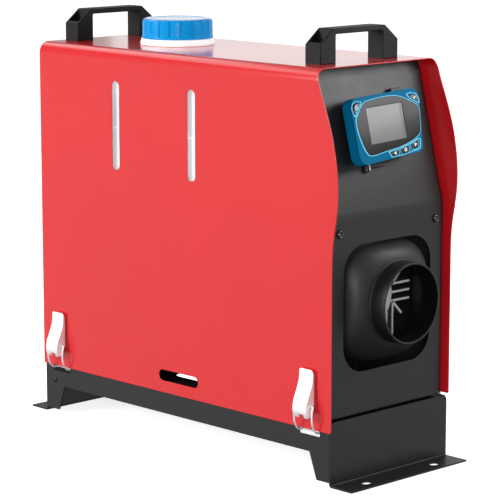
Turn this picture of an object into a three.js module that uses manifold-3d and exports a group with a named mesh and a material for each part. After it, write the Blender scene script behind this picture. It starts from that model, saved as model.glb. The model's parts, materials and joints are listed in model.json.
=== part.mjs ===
// Diesel air heater in a portable case: sheet-metal base with feet, front and rear
// panels, a U-shaped hood held down by four toggle latches, a fuel tank above the
// finned heater core, a round warm-air outlet at the front and a hand controller.
// Millimetres, +Z up. The warm-air outlet faces -Y. Origin: middle of the footprint.
import * as THREE from 'three';
import { mergeVertices } from 'three/addons/utils/BufferGeometryUtils.js';
import Module from 'manifold-3d';

const wasm = await Module();
wasm.setup();

// ---------------------------------------------------------------- dimensions
const HALF_W = 80;            // half width of the hood, outside
const SHEET = 1.0;            // hood sheet
const Y_FRONT = -202;         // lower front edge of the hood
const Y_REAR = 202;           // rear edge of the hood
const Z_TOP = 376;            // top of the hood
const Z_HOOD_L = 50;          // lower edge of the hood, -X side
const Z_HOOD_R = 61;          // lower edge of the hood, +X side
const BEND_R = 11;            // outer bend radius of the hood
const TOP_SETBACK = 20;       // front edge of the hood's top behind its lower front edge
// forward swell of the hood's front edge: [height, distance ahead of Y_FRONT]
const FRONT_EDGE = [[200, 0], [212, 0.4], [226, 1.8], [241, 4.4], [256, 6.4], [268, 6.9],
  [286, 5.8], [300, 3.6], [315, 0.2], [329, -4.3], [343, -9.6], [358, -15.6], [369, -19.2]];
const GAP = 0.3;              // gap between touching pieces
const BASE_HALF_W = 78.7;     // outer face of the tray's skirts
const BASE_T = 1.5;
const FLOOR_Z = 57;           // underside of the tray's floor
const FLOOR_T = 1.2;
const SKIRT_Z = 29;           // lower edge of the skirts between the legs
const LATCH_Y = [-174.2, 175.4];
const SLOT_Z = [44.2, 50.4];  // latch slots in the skirts
const PANEL_Y = -196;         // outer face of the front panel
const PANEL_T = 1.2;
const PANEL_KNEE_Z = 243;     // the front panel leans back above this height
const PANEL_LEAN = 14 * Math.PI / 180;
const PANEL_HALF_W = 78.5;
const DUCT_R = 37.5;          // outside radius of the warm-air collar
const DUCT_Z = 161.5;
const DUCT_RIM_Y = -226;
const OPENING = [116, 117, 26, 158]; // opening in the front panel: width, height, corner, middle height
const CORE_HALF = [62, 61];   // heater casing: half width, half height
const CORE_Z = 161;
const CORE_Y = [-166, 150];
const TANK = { x: 75, y0: -120, y1: 178, z0: 236, z1: 362, r: 16, wall: 3 };
const NECK_Y = 86;            // fuel neck
const NECK_R = 28;
const CAP_R = 35;
const CAP_Z = [382.6, 401.5];
const HANDLE = { half: 51, leg: 20, h: 31, bar: 5, side: 17.5, slope: 17, depth: 19.6 };
const HANDLE_Y = [-149, 186.5]; // middle of the front and rear handle
const CTRL = { v: 70.5, n0: 6, n1: 18 }; // controller on the leaning panel: middle height, back and front
// outlines on the leaning panel about that middle: [across, up, corner radius]
const CTRL_BODY = [[-44.5, 32.3, 9], [47.6, 37, 10], [39.6, -21.8, 7], [-44, -28.2, 9]];
const CTRL_FACE = [[-41.4, 2.8], [-39.6, -5], [-37.8, -10.6], [-34.6, -16.9], [-31.4, -19.6], [-24.8, -19.8], [-13.3, -18.2], [-4.7, -17],
  [6.9, -15.6], [18.8, -13.2], [28, -10.4], [35.2, -7.2], [38, -5], [39.7, -0.8], [40.9, 5.9], [41.9, 13.7], [41.7, 19.2], [36.4, 22.6],
  [30, 25.6], [23.4, 28.3], [15.8, 30.4], [7.8, 31.2], [-0.7, 31], [-10.7, 30.4], [-19.3, 29.4], [-26, 28.4], [-29.8, 26.6], [-33.2, 23.6],
  [-36.2, 20], [-39.6, 15.8], [-41.3, 12.6], [-41.7, 9]];
const KEY_OUT = {
  power: [[-40.1, 27.8], [-35.3, 28.8], [-31.6, 27.8], [-34.6, 24.8], [-37.8, 20.8], [-40.8, 17.6], [-42.2, 18.2], [-42.8, 21.9], [-42.2, 25.4]],
  ok: [[31.4, 29.3], [37.4, 30.6], [42, 29.4], [43.8, 26.6], [43, 23.6], [38, 25.2], [33.6, 27.2]],
  left: [[-4.6, -19.4], [4.6, -17.8], [8, -18.8], [6.2, -22.6], [-1.4, -23.2]],
  set: [[10, -17.8], [20.2, -15.2], [22.2, -16.2], [19.8, -21.4], [11.4, -22.2]],
  right: [[24.4, -14.6], [33.6, -11.6], [35.8, -12.6], [33.4, -18.2], [25.4, -19.2]] };

// ---------------------------------------------------------------- materials
const mat = (color, roughness, metalness = 0) =>
  new THREE.MeshStandardMaterial({ color, roughness, metalness });
const RED = () => mat(0xd8262b, 0.22);
const BLACKCOAT = () => mat(0x2f2f31, 0.55, 0.1);
const BLACKPLASTIC = () => mat(0x1d1d1e, 0.5);
const ZINC = () => mat(0xdfe1e4, 0.25, 0.9);
const ALU = () => mat(0xb9bcc0, 0.42, 0.85);
const STEEL = () => mat(0x9a9da1, 0.38, 0.9);
const WHITEPLASTIC = () => mat(0xf1f1ee, 0.4);
const BLUE = () => mat(0x0f7fc4, 0.3);
const RUBBER = () => mat(0x161616, 0.8);

// ---------------------------------------------------------------- solids
const M = (g) => {
  g = (g.index ? g.toNonIndexed() : g).clone();
  g.deleteAttribute('normal'); g.deleteAttribute('uv');
  g = mergeVertices(g, 1e-4);
  return new wasm.Manifold(new wasm.Mesh({
    numProp: 3,
    vertProperties: Float32Array.from(g.attributes.position.array),
    triVerts: Uint32Array.from(g.index.array),
  }));
};
const G = (m) => {
  const mesh = m.getMesh();
  const np = mesh.numProp, n = mesh.vertProperties.length / np;
  const p = new Float32Array(n * 3);
  for (let i = 0; i < n; i++) for (let k = 0; k < 3; k++) p[3 * i + k] = mesh.vertProperties[i * np + k];
  const g = new THREE.BufferGeometry();
  g.setAttribute('position', new THREE.BufferAttribute(p, 3));
  g.setIndex(Array.from(mesh.triVerts));
  g.computeVertexNormals();
  g.userData.solid = true;
  return g;
};
const add = (...s) => s.reduce((a, b) => a.add(b));
const cut = (a, ...s) => s.reduce((x, b) => x.subtract(b), a);

const poly = (pts) => new THREE.Shape(pts.map(([a, b]) => new THREE.Vector2(a, b)));
function rounded(pts, dx = 0, dy = 0, seg = 4) { // polygon with a radius at each corner
  const out = [], n = pts.length;
  pts.forEach(([x, y, r], i) => {
    const a = pts[(i + n - 1) % n], b = pts[(i + 1) % n];
    const u = new THREE.Vector2(a[0] - x, a[1] - y).normalize(), w = new THREE.Vector2(b[0] - x, b[1] - y).normalize();
    const half = Math.acos(u.dot(w)) / 2, c = u.clone().add(w).normalize().multiplyScalar(r / Math.sin(half));
    const p1 = u.clone().multiplyScalar(r / Math.tan(half)).sub(c), p2 = w.clone().multiplyScalar(r / Math.tan(half)).sub(c);
    let a1 = p1.angle(), d = p2.angle() - a1;
    if (d > Math.PI) d -= 2 * Math.PI;
    if (d < -Math.PI) d += 2 * Math.PI;
    for (let k = 0; k <= seg; k++) {
      const t = a1 + d * k / seg;
      out.push([x + dx + c.x + r * Math.cos(t), y + dy + c.y + r * Math.sin(t)]);
    }
  });
  return poly(out);
}
function rrect(w, h, r, cx = 0, cy = 0) {
  const s = new THREE.Shape(), x = cx - w / 2, y = cy - h / 2;
  s.moveTo(x + r, y); s.lineTo(x + w - r, y); s.absarc(x + w - r, y + r, r, -Math.PI / 2, 0);
  s.lineTo(x + w, y + h - r); s.absarc(x + w - r, y + h - r, r, 0, Math.PI / 2);
  s.lineTo(x + r, y + h); s.absarc(x + r, y + h - r, r, Math.PI / 2, Math.PI);
  s.lineTo(x, y + r); s.absarc(x + r, y + r, r, Math.PI, 1.5 * Math.PI);
  return s;
}
const circ = (r, cx = 0, cy = 0) => { const s = new THREE.Shape(); s.absarc(cx, cy, r, 0, 2 * Math.PI); return s; };
const V = (x, y, z) => new THREE.Vector3(x, y, z);
const basis = (a, b, c) => new THREE.Matrix4().makeBasis(a, b, c);
const TO_X = basis(V(0, 1, 0), V(0, 0, 1), V(1, 0, 0));   // shape (Y,Z), depth along +X
const TO_Y = basis(V(1, 0, 0), V(0, 0, 1), V(0, -1, 0));  // shape (X,Z), depth along -Y
const ext = (shape, depth, seg = 6) =>
  new THREE.ExtrudeGeometry(shape, { depth, bevelEnabled: false, curveSegments: seg, steps: 1 });
const alongX = (shape, x0, x1, seg) => ext(shape, x1 - x0, seg).applyMatrix4(TO_X).translate(x0, 0, 0);
const alongY = (shape, y0, y1, seg) => ext(shape, y1 - y0, seg).applyMatrix4(TO_Y).translate(0, y1, 0);
const alongZ = (shape, z0, z1, seg) => ext(shape, z1 - z0, seg).translate(0, 0, z0);
const block = (x0, x1, y0, y1, z0, z1) =>
  new THREE.BoxGeometry(x1 - x0, y1 - y0, z1 - z0).translate((x0 + x1) / 2, (y0 + y1) / 2, (z0 + z1) / 2);
const lathe = (pts, seg) => new THREE.LatheGeometry(pts.map(([r, z]) => new THREE.Vector2(r, z)), seg)
  .applyMatrix4(basis(V(1, 0, 0), V(0, 0, 1), V(0, -1, 0))); // turned about Z
const latheY = (pts, seg) => new THREE.LatheGeometry(pts.map(([r, y]) => new THREE.Vector2(r, y)), seg);
function tube(points, r, sides = 8, steps = 24) {
  const path = new THREE.CatmullRomCurve3(points.map((p) => V(...p)), false, 'centripetal');
  const s = new THREE.Shape();
  for (let i = 0; i < sides; i++) {
    const a = 2 * Math.PI * i / sides;
    i ? s.lineTo(r * Math.cos(a), r * Math.sin(a)) : s.moveTo(r, 0);
  }
  return new THREE.ExtrudeGeometry(s, { steps, extrudePath: path, bevelEnabled: false });
}

const heater = new THREE.Group();
function put(name, geometry, material, parent = heater) {
  const mesh = new THREE.Mesh(geometry.userData.solid ? geometry : G(M(geometry)), material);
  mesh.name = name;
  parent.add(mesh);
  return mesh;
}

// ---------------------------------------------------------------- base
{ // floor sheet between two skirts; the skirts end in short legs at both ends
  const y0 = -198.7, y1 = 198.7;
  const skirt = (zTop) => poly([[y0, 4], [-183, 4], [-174, SKIRT_Z], [172, SKIRT_Z], [181, 4],
    [y1, 4], [y1, 59], [183, 59], [183, zTop], [-183, zTop], [-183, 59], [y0, 59]]);
  const xi = BASE_HALF_W - BASE_T;
  let s = add(
    M(block(-xi - 0.5, xi + 0.5, y0, y1, FLOOR_Z, FLOOR_Z + FLOOR_T)),
    M(alongX(skirt(60.4), -BASE_HALF_W, -xi)),
    M(alongX(skirt(68), xi, BASE_HALF_W)));
  for (const y of LATCH_Y)
    s = cut(s, M(block(-90, -70, y - 12.8, y + 12.8, SLOT_Z[0], SLOT_Z[1])),
      M(block(70, 90, y - 12.8, y + 12.8, SLOT_Z[0], SLOT_Z[1])));
  s = cut(s, M(alongZ(rrect(95.2, 63, 12, 0, 14), 50, 64, 4)));       // pipe opening
  put('base_tray', G(s), BLACKCOAT());
}
function foot(sign) { // upright plate with an outward flange and two slotted holes
  const yo = sign * 200.5, yi = sign * 199, ye = sign < 0 ? -227 : 225;
  const w = BASE_HALF_W, plate = new THREE.Shape();
  plate.moveTo(-w, 0); plate.lineTo(w, 0); plate.lineTo(w, 54.5); plate.absarc(w - 5, 54.5, 5, 0, Math.PI / 2);
  plate.lineTo(-w + 5, 59.5); plate.absarc(-w + 5, 54.5, 5, Math.PI / 2, Math.PI); plate.lineTo(-w, 0);
  let s = M(alongY(plate, Math.min(yo, yi), Math.max(yo, yi), 4));
  const f = sign < 0 ? [[yi, 0], [yi, 2.6], [yo, 2.6], [yo - 0.9, 1.7], [yo - 1.6, 1.5], [ye, 1.5], [ye, 0]]
    : [[yi, 0], [ye, 0], [ye, 1.5], [yo + 1.6, 1.5], [yo + 0.9, 1.7], [yo, 2.6], [yi, 2.6]];
  s = add(s, M(alongX(poly(f), -w, w)));
  const yh = sign * 214.5;
  for (const x of [-46, 46]) s = cut(s, M(alongZ(rrect(10.4, 8, 3.99, x, yh), -5, 6, 3)));
  return G(s);
}
put('front_foot', foot(-1), BLACKCOAT());
put('rear_foot', foot(1), BLACKCOAT());

// ---------------------------------------------------------------- hood
{
  const w = HALF_W, t = SHEET, r = BEND_R, ri = r - t;
  const s = new THREE.Shape();
  s.moveTo(-w, Z_HOOD_L); s.lineTo(-w + t, Z_HOOD_L); s.lineTo(-w + t, Z_TOP - r);
  s.absarc(-w + r, Z_TOP - r, ri, Math.PI, Math.PI / 2, true);
  s.lineTo(w - r, Z_TOP - t); s.absarc(w - r, Z_TOP - r, ri, Math.PI / 2, 0, true);
  s.lineTo(w - t, Z_HOOD_R); s.lineTo(w, Z_HOOD_R); s.lineTo(w, Z_TOP - r);
  s.absarc(w - r, Z_TOP - r, r, 0, Math.PI / 2); s.lineTo(-w + r, Z_TOP);
  s.absarc(-w + r, Z_TOP - r, r, Math.PI / 2, Math.PI); s.lineTo(-w, Z_HOOD_L);
  let h = M(alongY(s, Y_FRONT - 12, Y_REAR, 5));
  const front = [[-260, 0], [Y_FRONT, 0], ...FRONT_EDGE.map(([z, d]) => [Y_FRONT - d, z]),
    [Y_FRONT + TOP_SETBACK, Z_TOP - 3], [Y_FRONT + TOP_SETBACK, 420], [-260, 420]];
  h = cut(h, M(alongX(poly(front), -100, 100)));
  const win = (y) => rrect(10.5, 86, 5.2, y, 302);
  for (const y of [87.8, -19.4]) h = cut(h, M(alongX(win(y), -90, 90, 3)));
  h = cut(h, M(alongX(rrect(55, 10.6, 5.2, 0, 67), -90, -70, 3)));   // cable slot
  h = cut(h, M(alongZ(circ(NECK_R + 1.2, 0, NECK_Y), 370, 380, 10)));
  put('hood', G(h), RED());
}
function handle() { // bridge handle, X along its length, standing on z = 0
  const H = HANDLE, o = new THREE.Shape();
  o.moveTo(-H.half, 0); o.lineTo(-H.half + H.leg, 0); o.lineTo(-H.half + H.leg, H.h - H.bar);
  o.lineTo(H.half - H.leg, H.h - H.bar); o.lineTo(H.half - H.leg, 0); o.lineTo(H.half, 0);
  o.lineTo(H.half, H.side); o.lineTo(H.half - H.slope, H.h); o.lineTo(-H.half + H.slope, H.h);
  o.lineTo(-H.half, H.side); o.lineTo(-H.half, 0);
  let s = M(alongY(o, -H.depth / 2, H.depth / 2));
  const a = Math.atan2(H.h - H.side, H.slope), L = Math.hypot(H.h - H.side, H.slope);
  for (const k of [-1, 1]) { // recess over the screw in each slope
    const b = new THREE.BoxGeometry(L - 6, H.depth - 6, 8);
    b.rotateY(-k * -a); b.translate(k * (H.half - H.slope / 2), 0, (H.h + H.side) / 2);
    s = cut(s, M(b));
  }
  return G(s);
}
for (const [n, y] of [['handle_front', HANDLE_Y[0]], ['handle_rear', HANDLE_Y[1]]])
  put(n, handle(), BLACKPLASTIC()).position.set(0, y, Z_TOP + GAP);

// ---------------------------------------------------------------- front and rear panels
{
  const tl = Math.tan(PANEL_LEAN), zt = Z_TOP - SHEET - GAP - 0.1;
  const yTop = PANEL_Y + tl * (zt - PANEL_KNEE_Z), dt = PANEL_T / Math.cos(PANEL_LEAN);
  const kn = PANEL_T * Math.tan(PANEL_LEAN / 2);
  const w = PANEL_HALF_W;
  const sheet = poly([[PANEL_Y, 61], [PANEL_Y + PANEL_T, 61], [PANEL_Y + PANEL_T, PANEL_KNEE_Z - kn],
    [yTop + dt, zt], [yTop, zt], [PANEL_Y, PANEL_KNEE_Z]]);
  const lip = poly([[PANEL_Y + 0.2, 59.4], [PANEL_Y + 12, 59.4], [PANEL_Y + 12, PANEL_KNEE_Z - 1.5],
    [yTop + 12, zt], [yTop + 0.2, zt], [PANEL_Y + 0.2, PANEL_KNEE_Z]]);
  let p = add(M(alongX(sheet, -w, w)), M(alongX(lip, -w, -w + 1.2)), M(alongX(lip, w - 1.2, w)),
    M(block(-w + 0.5, w - 0.5, PANEL_Y + 0.3, PANEL_Y + 12, 61, 62.2)));
  const [ow, oh, or, oz] = OPENING;
  p = cut(p, M(alongY(rrect(ow, oh, or, 0, oz), PANEL_Y - 5, PANEL_Y + 5, 7)));
  for (const x of [-64, 64]) p = cut(p, M(alongY(circ(2.3, x, 229), PANEL_Y - 5, PANEL_Y + 5, 6)));
  const inside = M(alongY(rrect(2 * w, 500, 10.2, 0, zt - 250), -230, 230, 5)); // follows the hood's bends
  put('front_panel', G(p.intersect(inside)), BLACKCOAT());

  const yr = 195;
  let q = add(M(block(-w, w, yr, yr + 1.2, 61, zt)), M(block(-w, -w + 1.2, yr - 11, yr + 1, 59.4, zt)),
    M(block(w - 1.2, w, yr - 11, yr + 1, 59.4, zt)), M(block(-w + 0.5, w - 0.5, yr - 11, yr + 1, 61, 62.2)));
  q = cut(q, M(alongY(circ(56, 0, CORE_Z), yr - 5, yr + 5, 12)), M(alongY(circ(7.3, 46, 84), yr - 5, yr + 5, 8)));
  put('rear_panel', G(q.intersect(inside)), BLACKCOAT());

  let gs = M(alongY(rrect(126, 126, 14, 0, CORE_Z), yr + 1.5, yr + 4.5, 4)); // moulded intake guard
  for (let i = -4; i <= 4; i++) {
    const half = Math.sqrt(54 * 54 - (i * 11) ** 2) - 2, z = CORE_Z + i * 11;
    gs = cut(gs, M(block(-half, -2, yr, yr + 6, z - 3.4, z + 3.4)), M(block(2, half, yr, yr + 6, z - 3.4, z + 3.4)));
  }
  put('rear_grille', G(gs), BLACKPLASTIC());
  put('cable_grommet', latheY([[3.2, yr - 3], [10, yr - 3], [10, yr - 0.3], [7, yr - 0.3], [7, yr + 1.5],
    [10, yr + 1.5], [10, yr + 4], [3.2, yr + 4], [3.2, yr - 3]], 14).translate(46, 0, 84), RUBBER());
}
for (const [n, x] of [['panel_screw_left', -64], ['panel_screw_right', 64]]) { // pan-head with a cross recess
  const y = PANEL_Y;
  let s = M(latheY([[0, y - 2.1], [2.2, y - 2.0], [3.6, y - 1.2], [3.9, y - GAP], [1.9, y - GAP], [1.9, y + 7], [0, y + 7]], 10));
  s = cut(s, M(block(-2, 2, y - 4, y - 1, -0.4, 0.4)));
  put(n, G(s).translate(x, 0, 229), BLACKCOAT());
}
for (const [n, k] of [['tray_screw_left', -1], ['tray_screw_right', 1]]) {
  const s = lathe([[0, 0], [2.4, 0], [2.4, 0.5], [1.2, 1.1], [0, 1.1]], 12);
  s.rotateY(k * Math.PI / 2); s.translate(k * (BASE_HALF_W + GAP), 187, 34);
  put(n, s, BLACKCOAT());
}

// ---------------------------------------------------------------- heater core
{
  const [hx, hz] = CORE_HALF, z = CORE_Z, t = 2.4;
  const outer = M(alongY(rrect(2 * hx, 2 * hz, 30, 0, z), CORE_Y[0], CORE_Y[1], 4));
  const inner = M(alongY(rrect(2 * hx - 2 * t, 2 * hz - 2 * t, 30 - t, 0, z), CORE_Y[0] - 1, CORE_Y[1] + 1, 4));
  const shell = cut(outer, inner);
  let up = shell.intersect(M(block(-90, 90, -200, 200, z + GAP / 2, z + 90)));
  let lo = shell.intersect(M(block(-90, 90, -200, 200, z - 90, z - GAP / 2)));
  lo = cut(lo, M(alongZ(circ(13.6, 16, 10), 80, 120, 7)), M(alongZ(circ(12.6, -14, 28.6), 80, 120, 7)),
    M(alongZ(circ(3.4, -40, 24), 80, 120, 6)));
  put('core_shell_upper', G(up), BLACKPLASTIC());
  put('core_shell_lower', G(lo), BLACKPLASTIC());

  // cast heat exchanger: a round can with a smaller nose and long straight fins square to the casing's walls
  const F0 = -175, F1 = 4, T = 1.3;
  let hex = add(M(latheY([[0, -158], [34, -158], [36.9, -154], [36.9, F1], [0, F1], [0, -158]], 20).translate(0, 0, z)),
    M(latheY([[0, -176], [18, -175.4], [24, -173.6], [27, -170.5], [27, -150], [0, -150], [0, -176]], 20).translate(0, 0, z)));
  for (const k of [-1, 1]) {
    for (const h of [-8, 0, 8]) hex = add(hex, M(block(Math.min(k * 20, k * 53), Math.max(k * 20, k * 53), F0, F1, z + h - T, z + h + T)));
    for (const [x, h0, h1] of [[-30, 8, 40], [-22, 8, 49], [-14, 18, 52.5], [-5, 20, 53], [5, 20, 53], [14, 18, 52.5], [22, 8, 49], [30, 8, 40]])
      hex = add(hex, M(block(x - T, x + T, F0, F1, z + Math.min(k * h0, k * h1), z + Math.max(k * h0, k * h1))));
    for (const m of [-1, 1]) {
      const P = (x, h) => [m * x, k * h];
      hex = add(hex, M(alongY(poly(k * m > 0 ? [P(27.4, 8.4), P(29.4, 6.4), P(43.6, 20.6), P(41.6, 22.6)]
        : [P(41.6, 22.6), P(43.6, 20.6), P(29.4, 6.4), P(27.4, 8.4)]), F0, F1).translate(0, 0, z)));
    }
  }
  hex = cut(hex, M(latheY([[0, -146], [33, -146], [33, 10], [0, 10], [0, -146]], 20).translate(0, 0, z)));
  put('heat_exchanger', G(hex), ALU());

  // burner flange and combustion-air housing with the tube that sits in the exchanger
  let b = add(M(latheY([[0, 6], [44, 6], [44, 40], [0, 40], [0, 6]], 16).translate(0, 0, z)),
    M(latheY([[0, -110], [28, -110], [28, 8], [0, 8], [0, -110]], 16).translate(0, 0, z)));
  b = cut(b, M(latheY([[0, -120], [25.6, -120], [25.6, -4], [0, -4], [0, -120]], 16).translate(0, 0, z)),
    M(latheY([[0, 16], [38, 16], [38, 44], [0, 44], [0, 16]], 16).translate(0, 0, z)),
    M(alongX(circ(3.2, -2 + 0, 0), 0, 60, 6).translate(0, 13, z)));
  put('burner_housing', G(b), ALU());
  put('glow_plug', latheY([[0, 0], [2.6, 0], [2.6, 14], [5.5, 14], [5.5, 19], [2, 19], [2, 25], [0, 25]], 10)
    .rotateZ(-Math.PI / 2).translate(33, 11, z), STEEL());

  let mo = add(M(latheY([[0, 40.3], [36, 40.3], [36, 44], [23, 46], [23, 88], [12, 91], [0, 91]], 16).translate(0, 0, z)));
  mo = cut(mo, M(latheY([[0, 70], [3.4, 70], [3.4, 100], [0, 100], [0, 70]], 12).translate(0, 0, z)));
  put('blower_motor', G(mo), STEEL());
  let wheel = add(M(latheY([[0, 72], [3, 72], [3, 95], [19, 95], [19, 127], [12, 131], [0, 132]], 14)));
  for (let i = 0; i < 9; i++) {
    const bl = new THREE.BoxGeometry(34, 26, 1.8);
    bl.rotateX(0.75); bl.translate(34, 111, 0); bl.rotateY(2 * Math.PI * i / 9);
    wheel = add(wheel, M(bl));
  }
  put('blower_wheel', G(wheel.translate([0, 0, z])), BLACKPLASTIC());
  put('control_unit', G(add(M(block(-31, 31, 46, 92, 198, 212)), M(block(-16, 16, 42.5, 50, 201, 209)))), BLACKPLASTIC());

  let gd = M(alongY(rrect(2 * hx - 1, 2 * hz - 1, 29, 0, z), CORE_Y[1] + GAP, CORE_Y[1] + 8, 4)); // core inlet guard
  for (let i = 0; i < 12; i++) {
    const a0 = 2 * Math.PI * i / 12 + 0.06, a1 = a0 + 2 * Math.PI / 12 - 0.12;
    const P = (r, a) => [r * Math.cos(a), z + r * Math.sin(a)];
    gd = cut(gd, M(alongY(poly([P(18, a0 + 0.05), P(50, a0), P(50, a1), P(18, a1 - 0.05)]), CORE_Y[1] - 2, CORE_Y[1] + 10)));
  }
  put('core_inlet_guard', G(gd), BLACKPLASTIC());

  // sheet brackets between the casing and the tray's floor
  for (const [nm, y] of [['core_mount_front', -128], ['core_mount_rear', 118]]) {
    const zf = FLOOR_Z + FLOOR_T + GAP, zc = z - hz - GAP;
    const prof = poly([[-34, zf], [-20, zf], [-20, zc - 1.6], [20, zc - 1.6], [20, zf], [34, zf], [34, zf + 1.6],
      [21.6, zf + 1.6], [21.6, zc], [-21.6, zc], [-21.6, zf + 1.6], [-34, zf + 1.6]]);
    put(nm, alongY(prof, y - 11, y + 11), ZINC());
  }
  // exhaust and combustion-air stubs, down through the tray's opening
  put('exhaust_stub', lathe([[10.5, 24], [12, 24], [12, 106.6], [10.5, 106.6], [10.5, 24]], 14).translate(16, 10, 0), STEEL());
  put('intake_stub', lathe([[9, 34], [11, 34], [11, 112], [9, 112], [9, 34]], 14).translate(-14, 28.6, 0), BLACKPLASTIC());
}
{ // outlet shroud: square-to-round cowl ending in the duct collar
  const ring = (hw, hh, r, y, zc, N = 28) => { // superellipse-like loop, r = corner share
    const out = [];
    for (let i = 0; i < N; i++) {
      const a = 2 * Math.PI * i / N, c = Math.cos(a), s = Math.sin(a), e = r;
      out.push([hw * Math.sign(c) * Math.abs(c) ** e, y, zc + hh * Math.sign(s) * Math.abs(s) ** e]);
    }
    return out;
  };
  const loft = (rings) => {
    const N = rings[0].length, pos = [], idx = [];
    rings.forEach((r) => r.forEach((p) => pos.push(...p)));
    for (let k = 0; k + 1 < rings.length; k++) for (let i = 0; i < N; i++) {
      const j = (i + 1) % N, a = k * N + i, b = k * N + j, c = (k + 1) * N + i, d = (k + 1) * N + j;
      idx.push(a, d, b, a, c, d);
    }
    const cap = (k, flip) => {
      const base = pos.length / 3, r = rings[k];
      pos.push(r.reduce((u, p) => u + p[0], 0) / N, r[0][1], r.reduce((u, p) => u + p[2], 0) / N);
      for (let i = 0; i < N; i++) {
        const j = (i + 1) % N;
        flip ? idx.push(base, k * N + j, k * N + i) : idx.push(base, k * N + i, k * N + j);
      }
    };
    cap(0, false); cap(rings.length - 1, true);
    const g = new THREE.BufferGeometry();
    g.setAttribute('position', new THREE.Float32BufferAttribute(pos, 3));
    g.setIndex(idx);
    return g.toNonIndexed();
  };
  // rings run from the rim (-Y) back to the casing (+Y)
  const z = DUCT_Z, c = CORE_Z - 1;
  const outer = loft([ring(DUCT_R, DUCT_R, 1, DUCT_RIM_Y, z), ring(DUCT_R, DUCT_R, 1, -209, z),
    ring(40.5, 40.5, 0.97, -208, z), ring(50, 49.5, 0.8, -202, c + 0.5), ring(54.5, 54, 0.64, -194, c),
    ring(56, 55.5, 0.58, -184, c), ring(58.8, 58.2, 0.55, -172, CORE_Z), ring(58.8, 58.2, 0.55, -156, CORE_Z)]);
  const inner = loft([ring(DUCT_R - 2.2, DUCT_R - 2.2, 1, DUCT_RIM_Y - 2, z), ring(DUCT_R - 2.2, DUCT_R - 2.2, 1, -207, z),
    ring(38, 38, 0.97, -205.5, z), ring(47, 46.5, 0.8, -200, c + 0.5), ring(51.9, 51.4, 0.64, -192, c),
    ring(53.4, 52.9, 0.58, -183, c), ring(56.2, 55.6, 0.55, -170, CORE_Z), ring(56.2, 55.6, 0.55, -154, CORE_Z)]);
  const m = (g) => { let s = M(g); return s; };
  put('outlet_shroud', G(m(outer).subtract(m(inner))), BLACKPLASTIC());
}

// ---------------------------------------------------------------- fuel system
{
  const T = TANK;
  const rounded = (x, y0, y1, z0, z1, r) => {
    const a = M(alongY(rrect(2 * x, z1 - z0, r, 0, (z0 + z1) / 2), y0, y1, 3));
    const b = M(alongZ(rrect(2 * x, y1 - y0, r, 0, (y0 + y1) / 2), z0, z1, 3));
    const c = M(alongX(rrect(y1 - y0, z1 - z0, r, (y0 + y1) / 2, (z0 + z1) / 2), -x, x, 3));
    return a.intersect(b).intersect(c);
  };
  const w = T.wall;
  let tank = add(rounded(T.x, T.y0, T.y1, T.z0, T.z1, T.r),
    M(lathe([[0, T.z1 - 6], [NECK_R, T.z1 - 6], [NECK_R, 396], [0, 396], [0, T.z1 - 6]], 20).translate(0, NECK_Y, 0)),
    M(lathe([[0, 226], [3.4, 226], [3.4, 240], [0, 240], [0, 226]], 10).translate(-52, -96, 0)));
  tank = cut(tank, rounded(T.x - w, T.y0 + w, T.y1 - w, T.z0 + w, T.z1 - w, T.r - w),
    M(lathe([[0, 300], [NECK_R - 3, 300], [NECK_R - 3, 410], [0, 410], [0, 300]], 20).translate(0, NECK_Y, 0)),
    M(lathe([[0, 220], [1.8, 220], [1.8, 250], [0, 250], [0, 220]], 8).translate(-52, -96, 0)));
  put('fuel_tank', G(tank), new THREE.MeshStandardMaterial({ color: 0xf2f4f2, roughness: 0.35, transparent: true, opacity: 0.75 }));

  // two cross rails joined by side rails carry the tank between the panels
  const zr = T.z0 - GAP;
  let cradle = add(M(block(-77, 77, -104, -84, zr - 2, zr)), M(block(-77, 77, 144, 164, zr - 2, zr)),
    M(block(-77, -74, -193, 194, zr - 8, zr)), M(block(74, 77, -193, 194, zr - 8, zr)));
  cradle = cut(cradle, M(alongZ(circ(4.2, -52, -96), 220, 240, 8)));
  put('tank_cradle', G(cradle), ZINC());

  put('tank_neck_ring', lathe([[NECK_R + 0.4, Z_TOP + GAP], [36.2, Z_TOP + GAP], [36.6, Z_TOP + 1.2], [36.6, Z_TOP + 4.6],
    [35.6, Z_TOP + 6.2], [NECK_R + 0.4, Z_TOP + 6.2], [NECK_R + 0.4, Z_TOP + GAP]], 24).translate(0, NECK_Y, 0), WHITEPLASTIC());
  const [c0, c1] = CAP_Z, R = CAP_R;
  put('fuel_cap', lathe([[0, c1], [30, c1], [R - 1.2, c1 - 1.6], [R, c1 - 3.2], [R, c0], [NECK_R + 1.2, c0], [NECK_R + 1.2, c1 - 2.5],
    [0, c1 - 2.5]].reverse(), 24).translate(0, NECK_Y, 0), BLUE());
  put('cap_seal', lathe([[0, 396.3], [NECK_R + 0.7, 396.3], [NECK_R + 0.7, 398.7], [0, 398.7]], 24).translate(0, NECK_Y, 0), RUBBER());

  const px = -42, pz = 79;
  put('fuel_pump', latheY([[0, -151], [2.4, -151], [2.4, -142], [8, -142], [8, -136], [14, -134], [14, -78], [8, -76], [8, -66],
    [2.4, -66], [2.4, -56], [0, -56]], 14).translate(px, 0, pz), STEEL());
  put('pump_clamp', G(cut(M(alongY(rrect(33, 37.4, 6, px, pz - 2), -114, -98, 3)),
    M(alongY(circ(14.6, px, pz), -120, -90, 8)))), RUBBER());
  put('fuel_line_tank', tube([[-52, -96, 225.2], [-52.4, -96, 221.6], [-60, -100, 216.5], [-66.5, -108, 210], [-70, -124, 192],
    [-70.5, -142, 160], [-70, -150, 120], [-66, -160, 92], [-54, -168, 80], [-44.5, -163, pz], [px, -152, pz]], 2.1, 6, 26), RUBBER());
  put('fuel_line_burner', tube([[px, -55, pz], [px, -40, pz], [px, -10, 78], [-41, 14, 80], [-40, 24, 92], [-40, 24, 108]], 2.1, 6, 14), RUBBER());
}

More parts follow.
